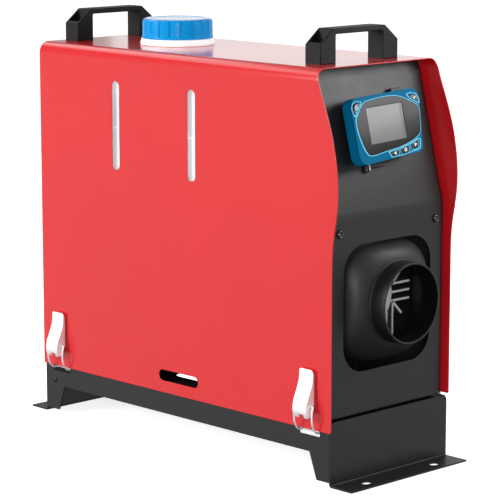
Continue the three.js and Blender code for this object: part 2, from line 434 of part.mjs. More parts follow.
// ---------------------------------------------------------------- controller on the leaning panel
{
  // local frame: x across, y up the slope, z out of the panel
  const g = new THREE.Group();
  g.position.set(0, PANEL_Y, PANEL_KNEE_Z);
  g.rotation.x = Math.PI / 2 - PANEL_LEAN;
  heater.add(g);
  const C = CTRL, v = C.v;
  let hold = add(M(alongZ(rrect(76, 48, 6, 1, v + 5), GAP, C.n0 - GAP, 3)),
    M(block(24.6, 38.6, v + 24, v + 39.2, GAP, 5)), M(block(-24, -16.6, v - 33.4, v - 10, GAP, 3.2)),
    M(block(-20, 2, v - 30.4, v - 10, GAP, 2.4)));
  put('controller_holder', G(hold), BLACKPLASTIC(), g);
  const at = (pts) => pts.map(([x, y]) => [x, y + v]);
  const grow = (pts, d) => { // widens a key's outline for its pocket
    const cx = pts.reduce((q, p) => q + p[0], 0) / pts.length, cy = pts.reduce((q, p) => q + p[1], 0) / pts.length;
    return pts.map(([x, y]) => { const l = Math.hypot(x - cx, y - cy); return [cx + (x - cx) * (l + d) / l, cy + (y - cy) * (l + d) / l]; });
  };
  let b = M(alongZ(rounded(CTRL_BODY, 0, v), C.n0, C.n1, 4)), f = M(alongZ(poly(at(CTRL_FACE)), C.n1 + GAP, C.n1 + 1.7, 1));
  for (const k of Object.values(KEY_OUT)) {
    const pocket = M(alongZ(poly(at(grow(k, 0.55))), C.n1 - 2.6, C.n1 + 2, 3));
    b = cut(b, pocket); f = cut(f, pocket);
  }
  put('controller_body', G(b), BLUE(), g);
  const disp = rounded([[-27.2, -10.2, 0.8], [19.8, -8.1, 0.8], [20, 24.4, 0.8], [-27.2, 22.4, 0.8]], 0, v, 2);
  f = cut(f, M(alongZ(rounded([[-27.6, -10.6, 1], [20.2, -8.5, 1], [20.4, 24.8, 1], [-27.6, 22.8, 1]], 0, v, 2), C.n1 + 1.1, C.n1 + 3, 2)));
  put('controller_face', G(f), mat(0x202124, 0.12), g);
  put('controller_display', alongZ(disp, C.n1 + 1.4, C.n1 + 1.9, 2), mat(0x8d9092, 0.15), g);
  for (const [n, k] of Object.entries(KEY_OUT)) put('button_' + n, alongZ(poly(at(k)), C.n1 - 1.4, C.n1 + 1.5, 3), mat(0x1b1c1e, 0.3), g);
}

// ---------------------------------------------------------------- toggle latches
// local frame: x = distance out of the hood's side, y along the case, z up
{
  const P = [6.4, 66.3], A = [5.6, 73.3]; // lever pivot, bail pivot
  const toX = (shape, y0, y1, seg) => { // shape in (x, z), depth along y, from y0 to y1
    const g = ext(shape, y1 - y0, seg).applyMatrix4(TO_Y); return g.translate(0, y1, 0);
  };
  const hole = (c, r, y0, y1) => M(toX(circ(r, c[0], c[1]), y0, y1, 3));
  function latchBase() {
    const back = M(block(GAP, 1.3, -7.2, 7.2, 70.4, 103));
    const ear = poly([[1, 71.2], [4.6, 65.1], [5.7, 64.15], [7.3, 64.2], [8.4, 65.4], [8.5, 67.1], [7.6, 69.3], [1, 79]]);
    let s = add(back, M(toX(ear, -6.8, -5.6)), M(toX(ear, 5.6, 6.8)));
    s = cut(s, hole(P, 1.6, -8, 8));
    const riv = (z) => M(new THREE.CylinderGeometry(2.1, 2.4, 1.0, 10).rotateZ(-Math.PI / 2).translate(1.6, 0, z));
    return G(add(s, riv(84), riv(96)));
  }
  function latchLever() {
    const front = poly([[10.9, 62.5], [12.0, 66.4], [12.3, 71], [11.4, 76.8], [8.9, 83.2], [6.2, 89.4], [4.4, 94.6], [3.8, 99.6], [3.5, 106.2],
      [2.5, 106], [2.8, 99.4], [3.4, 94.2], [5.3, 89], [8, 82.6], [10.4, 76.3], [11.3, 71], [11, 66.7], [9.9, 62.6]]);
    const side = poly([[10.4, 62.7], [8.0, 62.6], [4.4, 65.0], [3.4, 74], [2.4, 90], [3.0, 97.5], [3.4, 97.5], [4.3, 93.5],
      [6.1, 88.3], [8.8, 82.2], [11.1, 76], [11.8, 71], [11.5, 66.6]]);
    let s = add(M(toX(front, -8.6, 8.6)), M(toX(side, -8.6, -7.7)), M(toX(side, 7.7, 8.6)));
    s = cut(s, hole(A, 1.25, -10, 10));
    s = cut(s, M(block(8, 13, -2.8, 1.2, 60, 65.0)));   // notch in the lower edge
    return G(add(s, M(toX(circ(1.25, P[0], P[1]), -8.6, 8.6, 3))));
  }
  function latchBail() { // one bent wire: pin - leg - hook - leg - pin
    const Y = 11.2, leg = [[A[0], A[1]], [6.9, 69], [7.3, 62], [6.3, 55.8], [3.9, 51], [1.2, 48.5], [-1.2, 47.9], [-4.2, 47.9]];
    const pts = [[A[0], -7.2, A[1]], [A[0], -9.6, A[1]], [A[0], -Y + 0.3, A[1] - 0.3]];
    leg.slice(1).forEach(([x, z]) => pts.push([x, -Y, z]));
    pts.push([-5.3, -Y + 1.1, 47.9], [-5.3, 0, 47.9], [-5.3, Y - 1.1, 47.9]);
    leg.slice(1).reverse().forEach(([x, z]) => pts.push([x, Y, z]));
    pts.push([A[0], Y - 0.3, A[1] - 0.3], [A[0], 9.6, A[1]], [A[0], 7.2, A[1]]);
    return tube(pts, 0.9, 6, 36);
  }
  for (const [side, sx] of [['left', -1], ['right', 1]])
    for (const [end, y] of [['front', LATCH_Y[0]], ['rear', LATCH_Y[1]]]) {
      const g = new THREE.Group();
      g.position.set(sx * HALF_W, y, 0);
      if (sx < 0) g.rotation.z = Math.PI;
      heater.add(g);
      put(`latch_base_${side}_${end}`, latchBase(), ZINC(), g);
      put(`latch_lever_${side}_${end}`, latchLever(), ZINC(), g);
      put(`latch_bail_${side}_${end}`, latchBail(), ZINC(), g);
    }
}

export default heater;
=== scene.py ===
# Diesel air heater: the looks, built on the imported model.
# Helper calls take millimetres in the row frame; Blender gets metres.
import json
import math
import bpy
import bmesh
from mathutils import Vector, Matrix
from mathutils.geometry import tessellate_polygon

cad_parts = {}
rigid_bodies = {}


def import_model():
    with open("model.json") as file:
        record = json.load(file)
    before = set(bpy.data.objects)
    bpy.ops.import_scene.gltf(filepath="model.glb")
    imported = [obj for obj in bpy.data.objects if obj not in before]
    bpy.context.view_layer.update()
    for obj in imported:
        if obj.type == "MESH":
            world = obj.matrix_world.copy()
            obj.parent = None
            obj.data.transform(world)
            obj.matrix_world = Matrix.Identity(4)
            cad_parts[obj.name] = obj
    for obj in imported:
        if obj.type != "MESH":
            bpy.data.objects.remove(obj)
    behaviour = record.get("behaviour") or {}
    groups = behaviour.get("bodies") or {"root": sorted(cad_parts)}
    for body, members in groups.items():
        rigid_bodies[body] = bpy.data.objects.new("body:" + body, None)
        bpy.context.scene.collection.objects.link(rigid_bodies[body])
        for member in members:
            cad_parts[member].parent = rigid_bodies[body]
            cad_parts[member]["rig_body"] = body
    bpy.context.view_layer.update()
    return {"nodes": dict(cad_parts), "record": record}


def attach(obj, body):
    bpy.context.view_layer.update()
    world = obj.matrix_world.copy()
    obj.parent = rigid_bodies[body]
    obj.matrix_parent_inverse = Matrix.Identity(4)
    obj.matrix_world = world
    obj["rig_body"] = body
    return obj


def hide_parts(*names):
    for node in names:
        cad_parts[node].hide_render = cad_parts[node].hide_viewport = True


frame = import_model()
NODES = frame["nodes"]

pi, sin, cos, tan, sqrt = math.pi, math.sin, math.cos, math.tan, math.sqrt

# ------------------------------------------------------------------ dimensions (mm)
HALF_W, SHEET, Y_FRONT, Y_REAR, Z_TOP = 80.0, 1.0, -202.0, 202.0, 376.0
Z_HOOD_L, Z_HOOD_R, BEND_R, TOP_SETBACK = 50.0, 61.0, 11.0, 20.0
FRONT_EDGE = [(200, 0), (212, 0.4), (226, 1.8), (241, 4.4), (256, 6.4), (268, 6.9), (286, 5.8), (300, 3.6),
              (315, 0.2), (329, -4.3), (343, -9.6), (358, -15.6), (369, -19.2), (373, -20.0)]
PANEL_Y, PANEL_T, KNEE_Z, LEAN, PANEL_W = -196.0, 1.2, 243.0, math.radians(14), 78.5
BASE_W = 78.7
CORE_Z, DUCT_Z, DUCT_R, RIM_Y = 161.0, 161.5, 37.5, -226.0
LATCH_Y = (-174.2, 175.4)
NECK_Y, NECK_R = 86.0, 28.0
HANDLE_Y = (-149.0, 186.5)

# ------------------------------------------------------------------ outlines
def arc(cx, cy, r, a0, a1, n):
    return [(cx + r * cos(a0 + (a1 - a0) * i / n), cy + r * sin(a0 + (a1 - a0) * i / n)) for i in range(n + 1)]


def rrect(w, h, r, cx=0.0, cy=0.0, n=8):
    x, y = w / 2 - r, h / 2 - r
    return (arc(cx + x, cy - y, r, -pi / 2, 0, n) + arc(cx + x, cy + y, r, 0, pi / 2, n)
            + arc(cx - x, cy + y, r, pi / 2, pi, n) + arc(cx - x, cy - y, r, pi, 1.5 * pi, n))


def circle(r, cx=0.0, cy=0.0, n=40):
    return [(cx + r * cos(2 * pi * i / n), cy + r * sin(2 * pi * i / n)) for i in range(n)]


def clean(loop):
    out = []
    for p in loop:
        if not out or math.dist(p, out[-1]) > 1e-4:
            out.append((float(p[0]), float(p[1])))
    while len(out) > 2 and math.dist(out[0], out[-1]) < 1e-4:
        out.pop()
    return out


def area(loop):
    return sum(a[0] * b[1] - b[0] * a[1] for a, b in zip(loop, loop[1:] + loop[:1])) / 2


def turned(loop, ccw):
    loop = clean(loop)
    return loop if (area(loop) > 0) == ccw else loop[::-1]


def offset(loop, d):
    """Moves a loop to the left of its own direction by d."""
    if abs(d) < 1e-9:
        return list(loop)
    out, n = [], len(loop)
    for i in range(n):
        p, v, q = loop[i - 1], loop[i], loop[(i + 1) % n]
        a = Vector((v[0] - p[0], v[1] - p[1])).normalized()
        b = Vector((q[0] - v[0], q[1] - v[1])).normalized()
        n1, n2 = Vector((-a.y, a.x)), Vector((-b.y, b.x))
        m = n1 + n2
        if m.length < 1e-6:
            m = n1.copy()
        m.normalize()
        k = d / max(m.dot(n1), 0.4)
        out.append((v[0] + m.x * k, v[1] + m.y * k))
    return out


def fillet(points, closed=True, n=6):
    """Polyline with rounded corners: points are (x, y) or (x, y, radius)."""
    out, m = [], len(points)
    for i, p in enumerate(points):
        r = p[2] if len(p) > 2 else 0
        if r <= 0 or (not closed and i in (0, m - 1)):
            out.append((p[0], p[1]))
            continue
        a, b = points[i - 1], points[(i + 1) % m]
        v = Vector((p[0], p[1]))
        u1 = (Vector((a[0], a[1])) - v).normalized()
        u2 = (Vector((b[0], b[1])) - v).normalized()
        half = math.acos(max(-1, min(1, u1.dot(u2)))) / 2
        t = r / tan(half)
        c = v + (u1 + u2).normalized() * (r / sin(half))
        p1, p2 = v + u1 * t, v + u2 * t
        a1 = math.atan2(p1.y - c.y, p1.x - c.x)
        a2 = math.atan2(p2.y - c.y, p2.x - c.x)
        while a2 - a1 > pi:
            a2 -= 2 * pi
        while a2 - a1 < -pi:
            a2 += 2 * pi
        out += arc(c.x, c.y, r, a1, a2, n)
    return out


def spline(points, per=8, closed=False):
    """Catmull-Rom curve through points of any dimension."""
    P = [Vector(p) for p in points]
    n, out = len(P), []
    last = n if closed else n - 1
    for i in range(last):
        p1, p2 = P[i], P[(i + 1) % n]
        p0 = P[i - 1] if (i > 0 or closed) else p1 * 2 - p2
        p3 = P[(i + 2) % n] if (i + 2 < n or closed) else p2 * 2 - p1
        d01, d12, d23 = [max((b - a).length ** 0.5, 1e-6) for a, b in ((p0, p1), (p1, p2), (p2, p3))]
        m1 = (p2 - p1) + ((p1 - p0) / d01 - (p2 - p0) / (d01 + d12)) * d12
        m2 = (p2 - p1) + ((p3 - p2) / d23 - (p3 - p1) / (d12 + d23)) * d12
        for k in range(per):
            t = k / per
            out.append(p1 * (2 * t ** 3 - 3 * t ** 2 + 1) + m1 * (t ** 3 - 2 * t ** 2 + t)
                       + p2 * (-2 * t ** 3 + 3 * t ** 2) + m2 * (t ** 3 - t ** 2))
    if not closed:
        out.append(P[-1].copy())
    return out


# ------------------------------------------------------------------ solids
def mm(x, y, z):
    return (x * 0.001, y * 0.001, z * 0.001)


def slab(bm, loops, lo, hi, place, bevel=0.3, seg=2, cuts=(), top=None, bottom=None):
    """A closed block: an outline with holes, raised from lo to hi, its edges rounded by bevel.
    cuts are (axis, value) lines along which the flat block is divided before place() bends it."""
    L = [turned(loops[0], True)] + [turned(l, False) for l in loops[1:]]
    bt = bevel if top is None else top
    bb = bevel if bottom is None else bottom
    prof = [(bb * (1 - sin(i / seg * pi / 2)), lo + bb * (1 - cos(i / seg * pi / 2))) for i in range(seg + 1)] if bb > 0 else [(0, lo)]
    prof += [(bt * (1 - cos(i / seg * pi / 2)), hi - bt * (1 - sin(i / seg * pi / 2))) for i in range(seg + 1)] if bt > 0 else [(0, hi)]
    new = []
    rings = []
    for ins, h in prof:
        ring = []
        for l in L:
            ring.append([bm.verts.new((p[0], p[1], h)) for p in offset(l, ins)])
        rings.append(ring)
        new += [v for l in ring for v in l]
    faces = []
    for k in range(len(prof) - 1):
        for a, b in zip(rings[k], rings[k + 1]):
            n = len(a)
            for i in range(n):
                faces.append(bm.faces.new((a[i], a[(i + 1) % n], b[(i + 1) % n], b[i])))
    for ring in (rings[0], rings[-1]):
        flat = [v for l in ring for v in l]
        for t in tessellate_polygon([[v.co.copy() for v in l] for l in ring]):
            vs = [flat[i] for i in t]
            if len({v.index for v in vs} | {id(v) for v in vs}) >= 3:
                try:
                    faces.append(bm.faces.new(vs))
                except ValueError:
                    pass
    bmesh.ops.recalc_face_normals(bm, faces=faces)
    if cuts:
        for axis, value in cuts:
            co = [0, 0, 0]; no = [0, 0, 0]
            co[axis] = value; no[axis] = 1
            vs = set(new)
            geom = [v for v in vs] + list({e for v in vs for e in v.link_edges}) + list({f for v in vs for f in v.link_faces})
            r = bmesh.ops.bisect_plane(bm, geom=geom, dist=1e-4, plane_co=co, plane_no=no)
            new += [g for g in r["geom"] + r["geom_cut"] if isinstance(g, bmesh.types.BMVert) and g.is_valid]
            new = [v for v in set(new) if v.is_valid]
    for v in set(new):
        v.co = place(*v.co)


def lathe(bm, prof, seg, place, closed=False, radius=None, a0=0.0):
    """Turns (r, h) points about an axis; place takes (a, b, h)."""
    rings = []
    for r, h in prof:
        if r < 1e-6:
            rings.append([bm.verts.new(place(0, 0, h))])
        else:
            ring = []
            for i in range(seg):
                a = a0 + 2 * pi * i / seg
                q = radius(r, a, h) if radius else r
                ring.append(bm.verts.new(place(q * cos(a), q * sin(a), h)))
            rings.append(ring)
    pairs = list(zip(rings, rings[1:])) + ([(rings[-1], rings[0])] if closed else [])
    faces = []
    for a, b in pairs:
        if len(a) == 1 and len(b) == 1:
            continue
        for i in range(seg):
            j = (i + 1) % seg
            if len(a) == 1:
                faces.append(bm.faces.new((a[0], b[j], b[i])))
            elif len(b) == 1:
                faces.append(bm.faces.new((a[i], a[j], b[0])))
            else:
                faces.append(bm.faces.new((a[i], a[j], b[j], b[i])))
    bmesh.ops.recalc_face_normals(bm, faces=faces)


def loft(bm, rings, closed=False, caps=True):
    R = [[bm.verts.new(mm(*p)) for p in r] for r in rings]
    faces = []
    n = len(R[0])
    for a, b in list(zip(R, R[1:])) + ([(R[-1], R[0])] if closed else []):
        for i in range(n):
            faces.append(bm.faces.new((a[i], a[(i + 1) % n], b[(i + 1) % n], b[i])))
    if caps and not closed:
        faces.append(bm.faces.new(R[0][::-1]))
        faces.append(bm.faces.new(R[-1]))
    bmesh.ops.recalc_face_normals(bm, faces=faces)


def wire(bm, points, r, sides=14, per=6, place=mm, closed=False, smooth=True, radii=None):
    """A round bar along points; place maps each millimetre point to metres."""
    pts = spline(points, per, closed) if smooth else [Vector(p) for p in points]
    n = len(pts)
    tang = []
    for i in range(n):
        a = pts[i - 1] if (i > 0 or closed) else pts[i]
        b = pts[(i + 1) % n] if (i + 1 < n or closed) else pts[i]
        tang.append((b - a).normalized())
    up = Vector((0, 0, 1)) if abs(tang[0].z) < 0.9 else Vector((1, 0, 0))
    nrm = (up - tang[0] * up.dot(tang[0])).normalized()
    rings = []
    for i in range(n):
        if i:
            nrm = (nrm - tang[i] * nrm.dot(tang[i])).normalized()
        b = tang[i].cross(nrm)
        q = radii(i / (n - 1)) if radii else r
        rings.append([bm.verts.new(place(*(pts[i] + nrm * (q * cos(2 * pi * k / sides)) + b * (q * sin(2 * pi * k / sides))))) for k in range(sides)])
    faces = []
    for a, b in list(zip(rings, rings[1:])) + ([(rings[-1], rings[0])] if closed else []):
        for i in range(sides):
            faces.append(bm.faces.new((a[i], a[(i + 1) % sides], b[(i + 1) % sides], b[i])))
    if not closed:
        faces.append(bm.faces.new(rings[0][::-1]))
        faces.append(bm.faces.new(rings[-1]))
    bmesh.ops.recalc_face_normals(bm, faces=faces)


def done(name, bm, material, body, replaces=(), sharp=38, bevel=None, weighted=True, parent=None):
    """Turns the mesh into a finished piece."""
    me = bpy.data.meshes.new(name)
    bmesh.ops.remove_doubles(bm, verts=bm.verts, dist=1e-7)
    bmesh.ops.recalc_face_normals(bm, faces=bm.faces)
    bm.normal_update()
    bm.to_mesh(me)
    bm.free()
    o = bpy.data.objects.new(name, me)
    bpy.context.scene.collection.objects.link(o)
    me.materials.append(material)
    for p in me.polygons:
        p.use_smooth = True
    me.set_sharp_from_angle(angle=math.radians(sharp))
    if bevel:
        b = o.modifiers.new("edge", "BEVEL")
        b.width, b.segments, b.limit_method, b.angle_limit = bevel[0] * 0.001, bevel[1], "ANGLE", math.radians(bevel[2] if len(bevel) > 2 else 30)
        b.harden_normals = False
        b.miter_outer = "MITER_ARC"
    if weighted:
        w = o.modifiers.new("normals", "WEIGHTED_NORMAL")
        w.keep_sharp, w.weight = True, 90
    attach(o, body)
    if replaces:
        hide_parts(*replaces)
    return o


# ------------------------------------------------------------------ materials
def _mat(name):
    m = bpy.data.materials.new(name)
    m.use_nodes = True
    nt = m.node_tree
    nt.nodes.clear()
    out = nt.nodes.new("ShaderNodeOutputMaterial")
    b = nt.nodes.new("ShaderNodeBsdfPrincipled")
    nt.links.new(b.outputs[0], out.inputs[0])
    return m, nt, b


def _noise(nt, scale, detail=2.0, rough=0.5, stretch=None):
    tc = nt.nodes.new("ShaderNodeTexCoord")
    n = nt.nodes.new("ShaderNodeTexNoise")
    n.inputs["Scale"].default_value = scale
    n.inputs["Detail"].default_value = detail
    n.inputs["Roughness"].default_value = rough
    if stretch:
        mp = nt.nodes.new("ShaderNodeMapping")
        mp.inputs["Scale"].default_value = stretch
        nt.links.new(tc.outputs["Object"], mp.inputs[0])
        nt.links.new(mp.outputs[0], n.inputs["Vector"])
    else:
        nt.links.new(tc.outputs["Object"], n.inputs["Vector"])
    return n.outputs["Fac"]


def _ramp(nt, fac, stops):
    r = nt.nodes.new("ShaderNodeValToRGB")
    while len(r.color_ramp.elements) > 1:
        r.color_ramp.elements.remove(r.color_ramp.elements[-1])
    for i, (pos, col) in enumerate(stops):
        e = r.color_ramp.elements[0] if i == 0 else r.color_ramp.elements.new(pos)
        e.position = pos
        e.color = (*col, 1) if len(col) == 3 else col
    nt.links.new(fac, r.inputs[0])
    return r.outputs[0]


def _bump(nt, b, height, strength, distance):
    n = nt.nodes.new("ShaderNodeBump")
    n.inputs["Strength"].default_value = strength
    n.inputs["Distance"].default_value = distance
    nt.links.new(height, n.inputs["Height"])
    nt.links.new(n.outputs[0], b.inputs["Normal"])
    return n


def _map(nt, fac, a, b):
    m = nt.nodes.new("ShaderNodeMapRange")
    m.inputs["To Min"].default_value = a
    m.inputs["To Max"].default_value = b
    nt.links.new(fac, m.inputs["Value"])
    return m.outputs[0]


def _shade(col, k):
    return tuple(min(1.0, c * k) for c in col)


def _wear(nt, amount, width=0.5):
    """0..1 along convex edges, broken up by noise, for a little wear and dust on them."""
    g = nt.nodes.new("ShaderNodeNewGeometry")
    m = nt.nodes.new("ShaderNodeMapRange")
    m.inputs["From Min"].default_value = 0.52
    m.inputs["From Max"].default_value = 0.52 + 0.12 * width
    m.inputs["To Max"].default_value = amount
    nt.links.new(g.outputs["Pointiness"], m.inputs["Value"])
    x = nt.nodes.new("ShaderNodeMath")
    x.operation = "MULTIPLY"
    nt.links.new(m.outputs[0], x.inputs[0])
    nt.links.new(_map(nt, _noise(nt, 160, 3), 0.2, 1.0), x.inputs[1])
    return x.outputs[0]


def _mixcol(nt, fac, a, b):
    m = nt.nodes.new("ShaderNodeMix")
    m.data_type = "RGBA"
    nt.links.new(fac, m.inputs[0])
    for sock, v in ((m.inputs[6], a), (m.inputs[7], b)):
        if isinstance(v, bpy.types.NodeSocket):
            nt.links.new(v, sock)
        else:
            sock.default_value = (*v, 1)
    return m.outputs[2]


def gloss_coat(name, col, rough=0.4, coat=1.0, coat_rough=0.15, wear=0.12):
    """High-gloss coat on sheet metal: faint orange peel, hardly any colour variation."""
    m, nt, b = _mat(name)
    base = _ramp(nt, _noise(nt, 7, 3), [(0.3, _shade(col, 0.965)), (0.7, _shade(col, 1.03))])
    base = _mixcol(nt, _wear(nt, wear), base, _shade(col, 1.5))
    nt.links.new(base, b.inputs["Base Color"])
    nt.links.new(_map(nt, _noise(nt, 38, 3), rough - 0.03, rough + 0.04), b.inputs["Roughness"])
    b.inputs["Coat Weight"].default_value = coat
    b.inputs["Coat Roughness"].default_value = coat_rough
    b.inputs["Coat IOR"].default_value = 1.5
    b.inputs["Specular IOR Level"].default_value = 0.06
    _bump(nt, b, _noise(nt, 520, 2), 0.05, 0.00025)
    return m


def powder(name, col, rough=0.5, grain=1600, strength=0.22, wear=0.25, spec=0.5):
    """Fine-textured satin powder coat."""
    m, nt, b = _mat(name)
    base = _ramp(nt, _noise(nt, 1100, 2), [(0.35, _shade(col, 0.82)), (0.65, _shade(col, 1.18))])
    base = _mixcol(nt, _map(nt, _noise(nt, 9, 3), 0.0, 0.35), base, _shade(col, 1.25))
    base = _mixcol(nt, _wear(nt, wear), base, _shade(col, 3.0))
    nt.links.new(base, b.inputs["Base Color"])
    nt.links.new(_map(nt, _noise(nt, 60, 3), rough - 0.05, rough + 0.07), b.inputs["Roughness"])
    b.inputs["Specular IOR Level"].default_value = spec
    _bump(nt, b, _noise(nt, grain, 2), strength, 0.00012)
    return m


def plastic(name, col, rough=0.4, grain=1300, strength=0.12, coat=0.0, wear=0.15, sss=0.0, vary=0.06, metal=0.0, spec=0.5, painted_glow=0.0):
    """Moulded plastic with a fine grain."""
    m, nt, b = _mat(name)
    base = _ramp(nt, _noise(nt, 22, 4), [(0.3, _shade(col, 1 - vary)), (0.7, _shade(col, 1 + vary))])
    base = _mixcol(nt, _wear(nt, wear), base, tuple(min(1, c * 1.6 + 0.02) for c in col))
    nt.links.new(base, b.inputs["Base Color"])
    nt.links.new(_map(nt, _noise(nt, 90, 3), max(0.02, rough - 0.05), rough + 0.05), b.inputs["Roughness"])
    if coat:
        b.inputs["Coat Weight"].default_value = coat
        b.inputs["Coat Roughness"].default_value = 0.05
    if sss:
        b.inputs["Subsurface Weight"].default_value = sss
        b.inputs["Subsurface Radius"].default_value = (1, 1, 1)
        b.inputs["Subsurface Scale"].default_value = 0.004
    b.inputs["Metallic"].default_value = metal
    b.inputs["Specular IOR Level"].default_value = spec
    # painted_glow: the base colour also glows, painted light on a part that is no lamp
    if painted_glow:
        nt.links.new(base, b.inputs["Emission Color"])
        b.inputs["Emission Strength"].default_value = painted_glow
    _bump(nt, b, _noise(nt, grain, 2), strength, 0.00008)
    return m


def metal(name, col, rough=0.3, brushed=None, strength=0.15, grain=900, blotch=0.1, metallic=1.0):
    """Bare or plated metal; brushed gives the stretch of its fine lines."""
    m, nt, b = _mat(name)
    base = _ramp(nt, _noise(nt, 45, 4), [(0.3, _shade(col, 1 - blotch)), (0.7, _shade(col, 1 + blotch * 0.4))])
    nt.links.new(base, b.inputs["Base Color"])
    b.inputs["Metallic"].default_value = metallic
    nt.links.new(_map(nt, _noise(nt, 120, 3), max(0.03, rough - 0.08), rough + 0.08), b.inputs["Roughness"])
    _bump(nt, b, _noise(nt, grain, 3, 0.6, brushed), strength, 0.0001)
    return m


RED = gloss_coat("red_coat", (0.62, 0.010, 0.014))
# near-black for the hood's inside behind the panels: painted shade
INNER_PAINTED_SHADE = powder("inner_painted_shade", (0.012, 0.011, 0.011), 0.7)
BLACK = powder("black_coat", (0.0075, 0.0075, 0.0082), 0.42, spec=0.5)
HANDLE = plastic("handle_plastic", (0.0050, 0.0046, 0.0052), 0.5, 1500, 0.25, wear=0.12, spec=0.19)
PLASTIC = plastic("black_plastic", (0.010, 0.010, 0.0105), 0.38, 1100, 0.14, spec=0.35)
DUCT = plastic("duct_plastic", (0.0075, 0.0075, 0.008), 0.5, 1300, 0.3, spec=0.5)
# darker, duller copy of the duct plastic for the bore: painted shade
DUCT_PAINTED_SHADE = plastic("duct_bore_painted_shade", (0.0022, 0.0022, 0.0024), 0.7, 900, 0.3, spec=0.08)
SCREW = metal("black_screw", (0.10, 0.10, 0.105), 0.22, None, 0.05, 900, 0.05)
RUBBER = plastic("rubber", (0.012, 0.012, 0.012), 0.75, 700, 0.3, wear=0.0, spec=0.3)
ZINC = metal("bright_zinc", (0.95, 0.955, 0.965), 0.42, None, 0.06, 700, 0.04, 0.45)
WIRE = metal("bright_wire", (0.95, 0.95, 0.96), 0.4, None, 0.05, 900, 0.04, 0.45)
STEEL = metal("steel", (0.56, 0.57, 0.59), 0.32, (1, 14, 1), 0.2)
CAST = metal("cast_aluminium", (0.93, 0.94, 0.95), 0.6, None, 0.5, 420, 0.10, 0.2)
# dark copy of the cast aluminium for the exchanger's sides: painted shade
CAST_PAINTED_SHADE = metal("cast_aluminium_painted_shade", (0.05, 0.05, 0.052), 0.65, None, 0.6, 420, 0.2, 0.2)
# painted_glow on the tank, neck ring, cap sides, controller shell and rim lines: painted light, these parts are no
# lamps
TANK = plastic("tank_plastic", (0.84, 0.85, 0.86), 0.35, 120, 0.5, sss=0.4, vary=0.16, wear=0.0, painted_glow=0.36)
WHITE = plastic("white_plastic", (0.90, 0.90, 0.90), 0.3, 900, 0.05, sss=0.15, vary=0.02, wear=0.0, painted_glow=0.25)
CAPBLUE = plastic("cap_blue", (0.0, 0.25, 0.60), 0.24, 900, 0.05, vary=0.04, wear=0.05, spec=0.12, painted_glow=0.16)
CAPTOP = plastic("cap_top", (0.02, 0.27, 0.66), 0.3, 900, 0.02, coat=0.62, vary=0.05, spec=0.5)
CTRLBLUE = plastic("controller_blue", (0.0, 0.112, 0.228), 0.4, 1400, 0.06, vary=0.08, wear=0.05, spec=0.03, painted_glow=0.24)
# light cyan for the beads along the controller's edges: painted highlights
RIM_PAINTED_HIGHLIGHT = plastic("controller_rim_painted_highlight", (0.17, 0.62, 0.84), 0.32, 1400, 0.04, vary=0.10, spec=0.3, painted_glow=0.30)
FACE = plastic("dark_gloss", (0.011, 0.011, 0.0125), 0.22, 900, 0.01, coat=0.03, vary=0.03, wear=0.0, spec=0.15)
LCD = plastic("display_grey", (0.165, 0.168, 0.172), 0.24, 700, 0.01, coat=0.05, vary=0.03, wear=0.0, spec=0.3)
# darker grey for the display's right strip: painted shade of the bezel
LCD_PAINTED_SHADE = plastic("display_painted_shade", (0.115, 0.117, 0.121), 0.25, 700, 0.01, coat=0.05, vary=0.03, wear=0.0, spec=0.3)
KEY = plastic("button_dark", (0.008, 0.009, 0.011), 0.25, 900, 0.04, wear=0.1, spec=0.35)
SYMBOL = plastic("symbol_white", (0.72, 0.73, 0.74), 0.4, 900, 0.02, vary=0.02, wear=0.0)

SLOT_MAT = {"black_coat": BLACK, "red_coat": RED, "handle_plastic": HANDLE, "black_plastic": PLASTIC, "black_rubber": RUBBER,
            "bright_zinc": ZINC, "cast_aluminium": CAST, "steel": STEEL, "tank_plastic": TANK, "white_plastic": WHITE,
            "blue_plastic": CAPBLUE, "controller_blue": CTRLBLUE, "dark_gloss": FACE, "display_grey": LCD, "button_dark": KEY}
for s in frame["record"]["subparts"]:
    o = NODES[s["node"]]
    o.data.materials.clear()
    o.data.materials.append(SLOT_MAT[s["material_slot"]])

CASE = "case"

# ------------------------------------------------------------------ hood
def y_front(z):
    """Front edge of the hood at height z."""
    if z <= FRONT_EDGE[0][0]:
        return Y_FRONT
    if z >= FRONT_EDGE[-1][0]:
        return Y_FRONT + TOP_SETBACK
    for i in range(len(FRONT_EDGE) - 1):
        (z0, d0), (z1, d1) = FRONT_EDGE[i], FRONT_EDGE[i + 1]
        if z0 <= z <= z1:
            zp, dp = FRONT_EDGE[i - 1] if i else (z0 - 12, d0)
            zn, dn = FRONT_EDGE[i + 2] if i + 2 < len(FRONT_EDGE) else (z1 + 8, d1)
            m0, m1 = (d1 - dp) / (z1 - zp), (dn - d0) / (zn - z0)
            h, t = z1 - z0, (z - z0) / (z1 - z0)
            d = ((2 * t ** 3 - 3 * t ** 2 + 1) * d0 + (t ** 3 - 2 * t ** 2 + t) * h * m0
                 + (-2 * t ** 3 + 3 * t ** 2) * d1 + (t ** 3 - t ** 2) * h * m1)
            return Y_FRONT - d
    return Y_FRONT


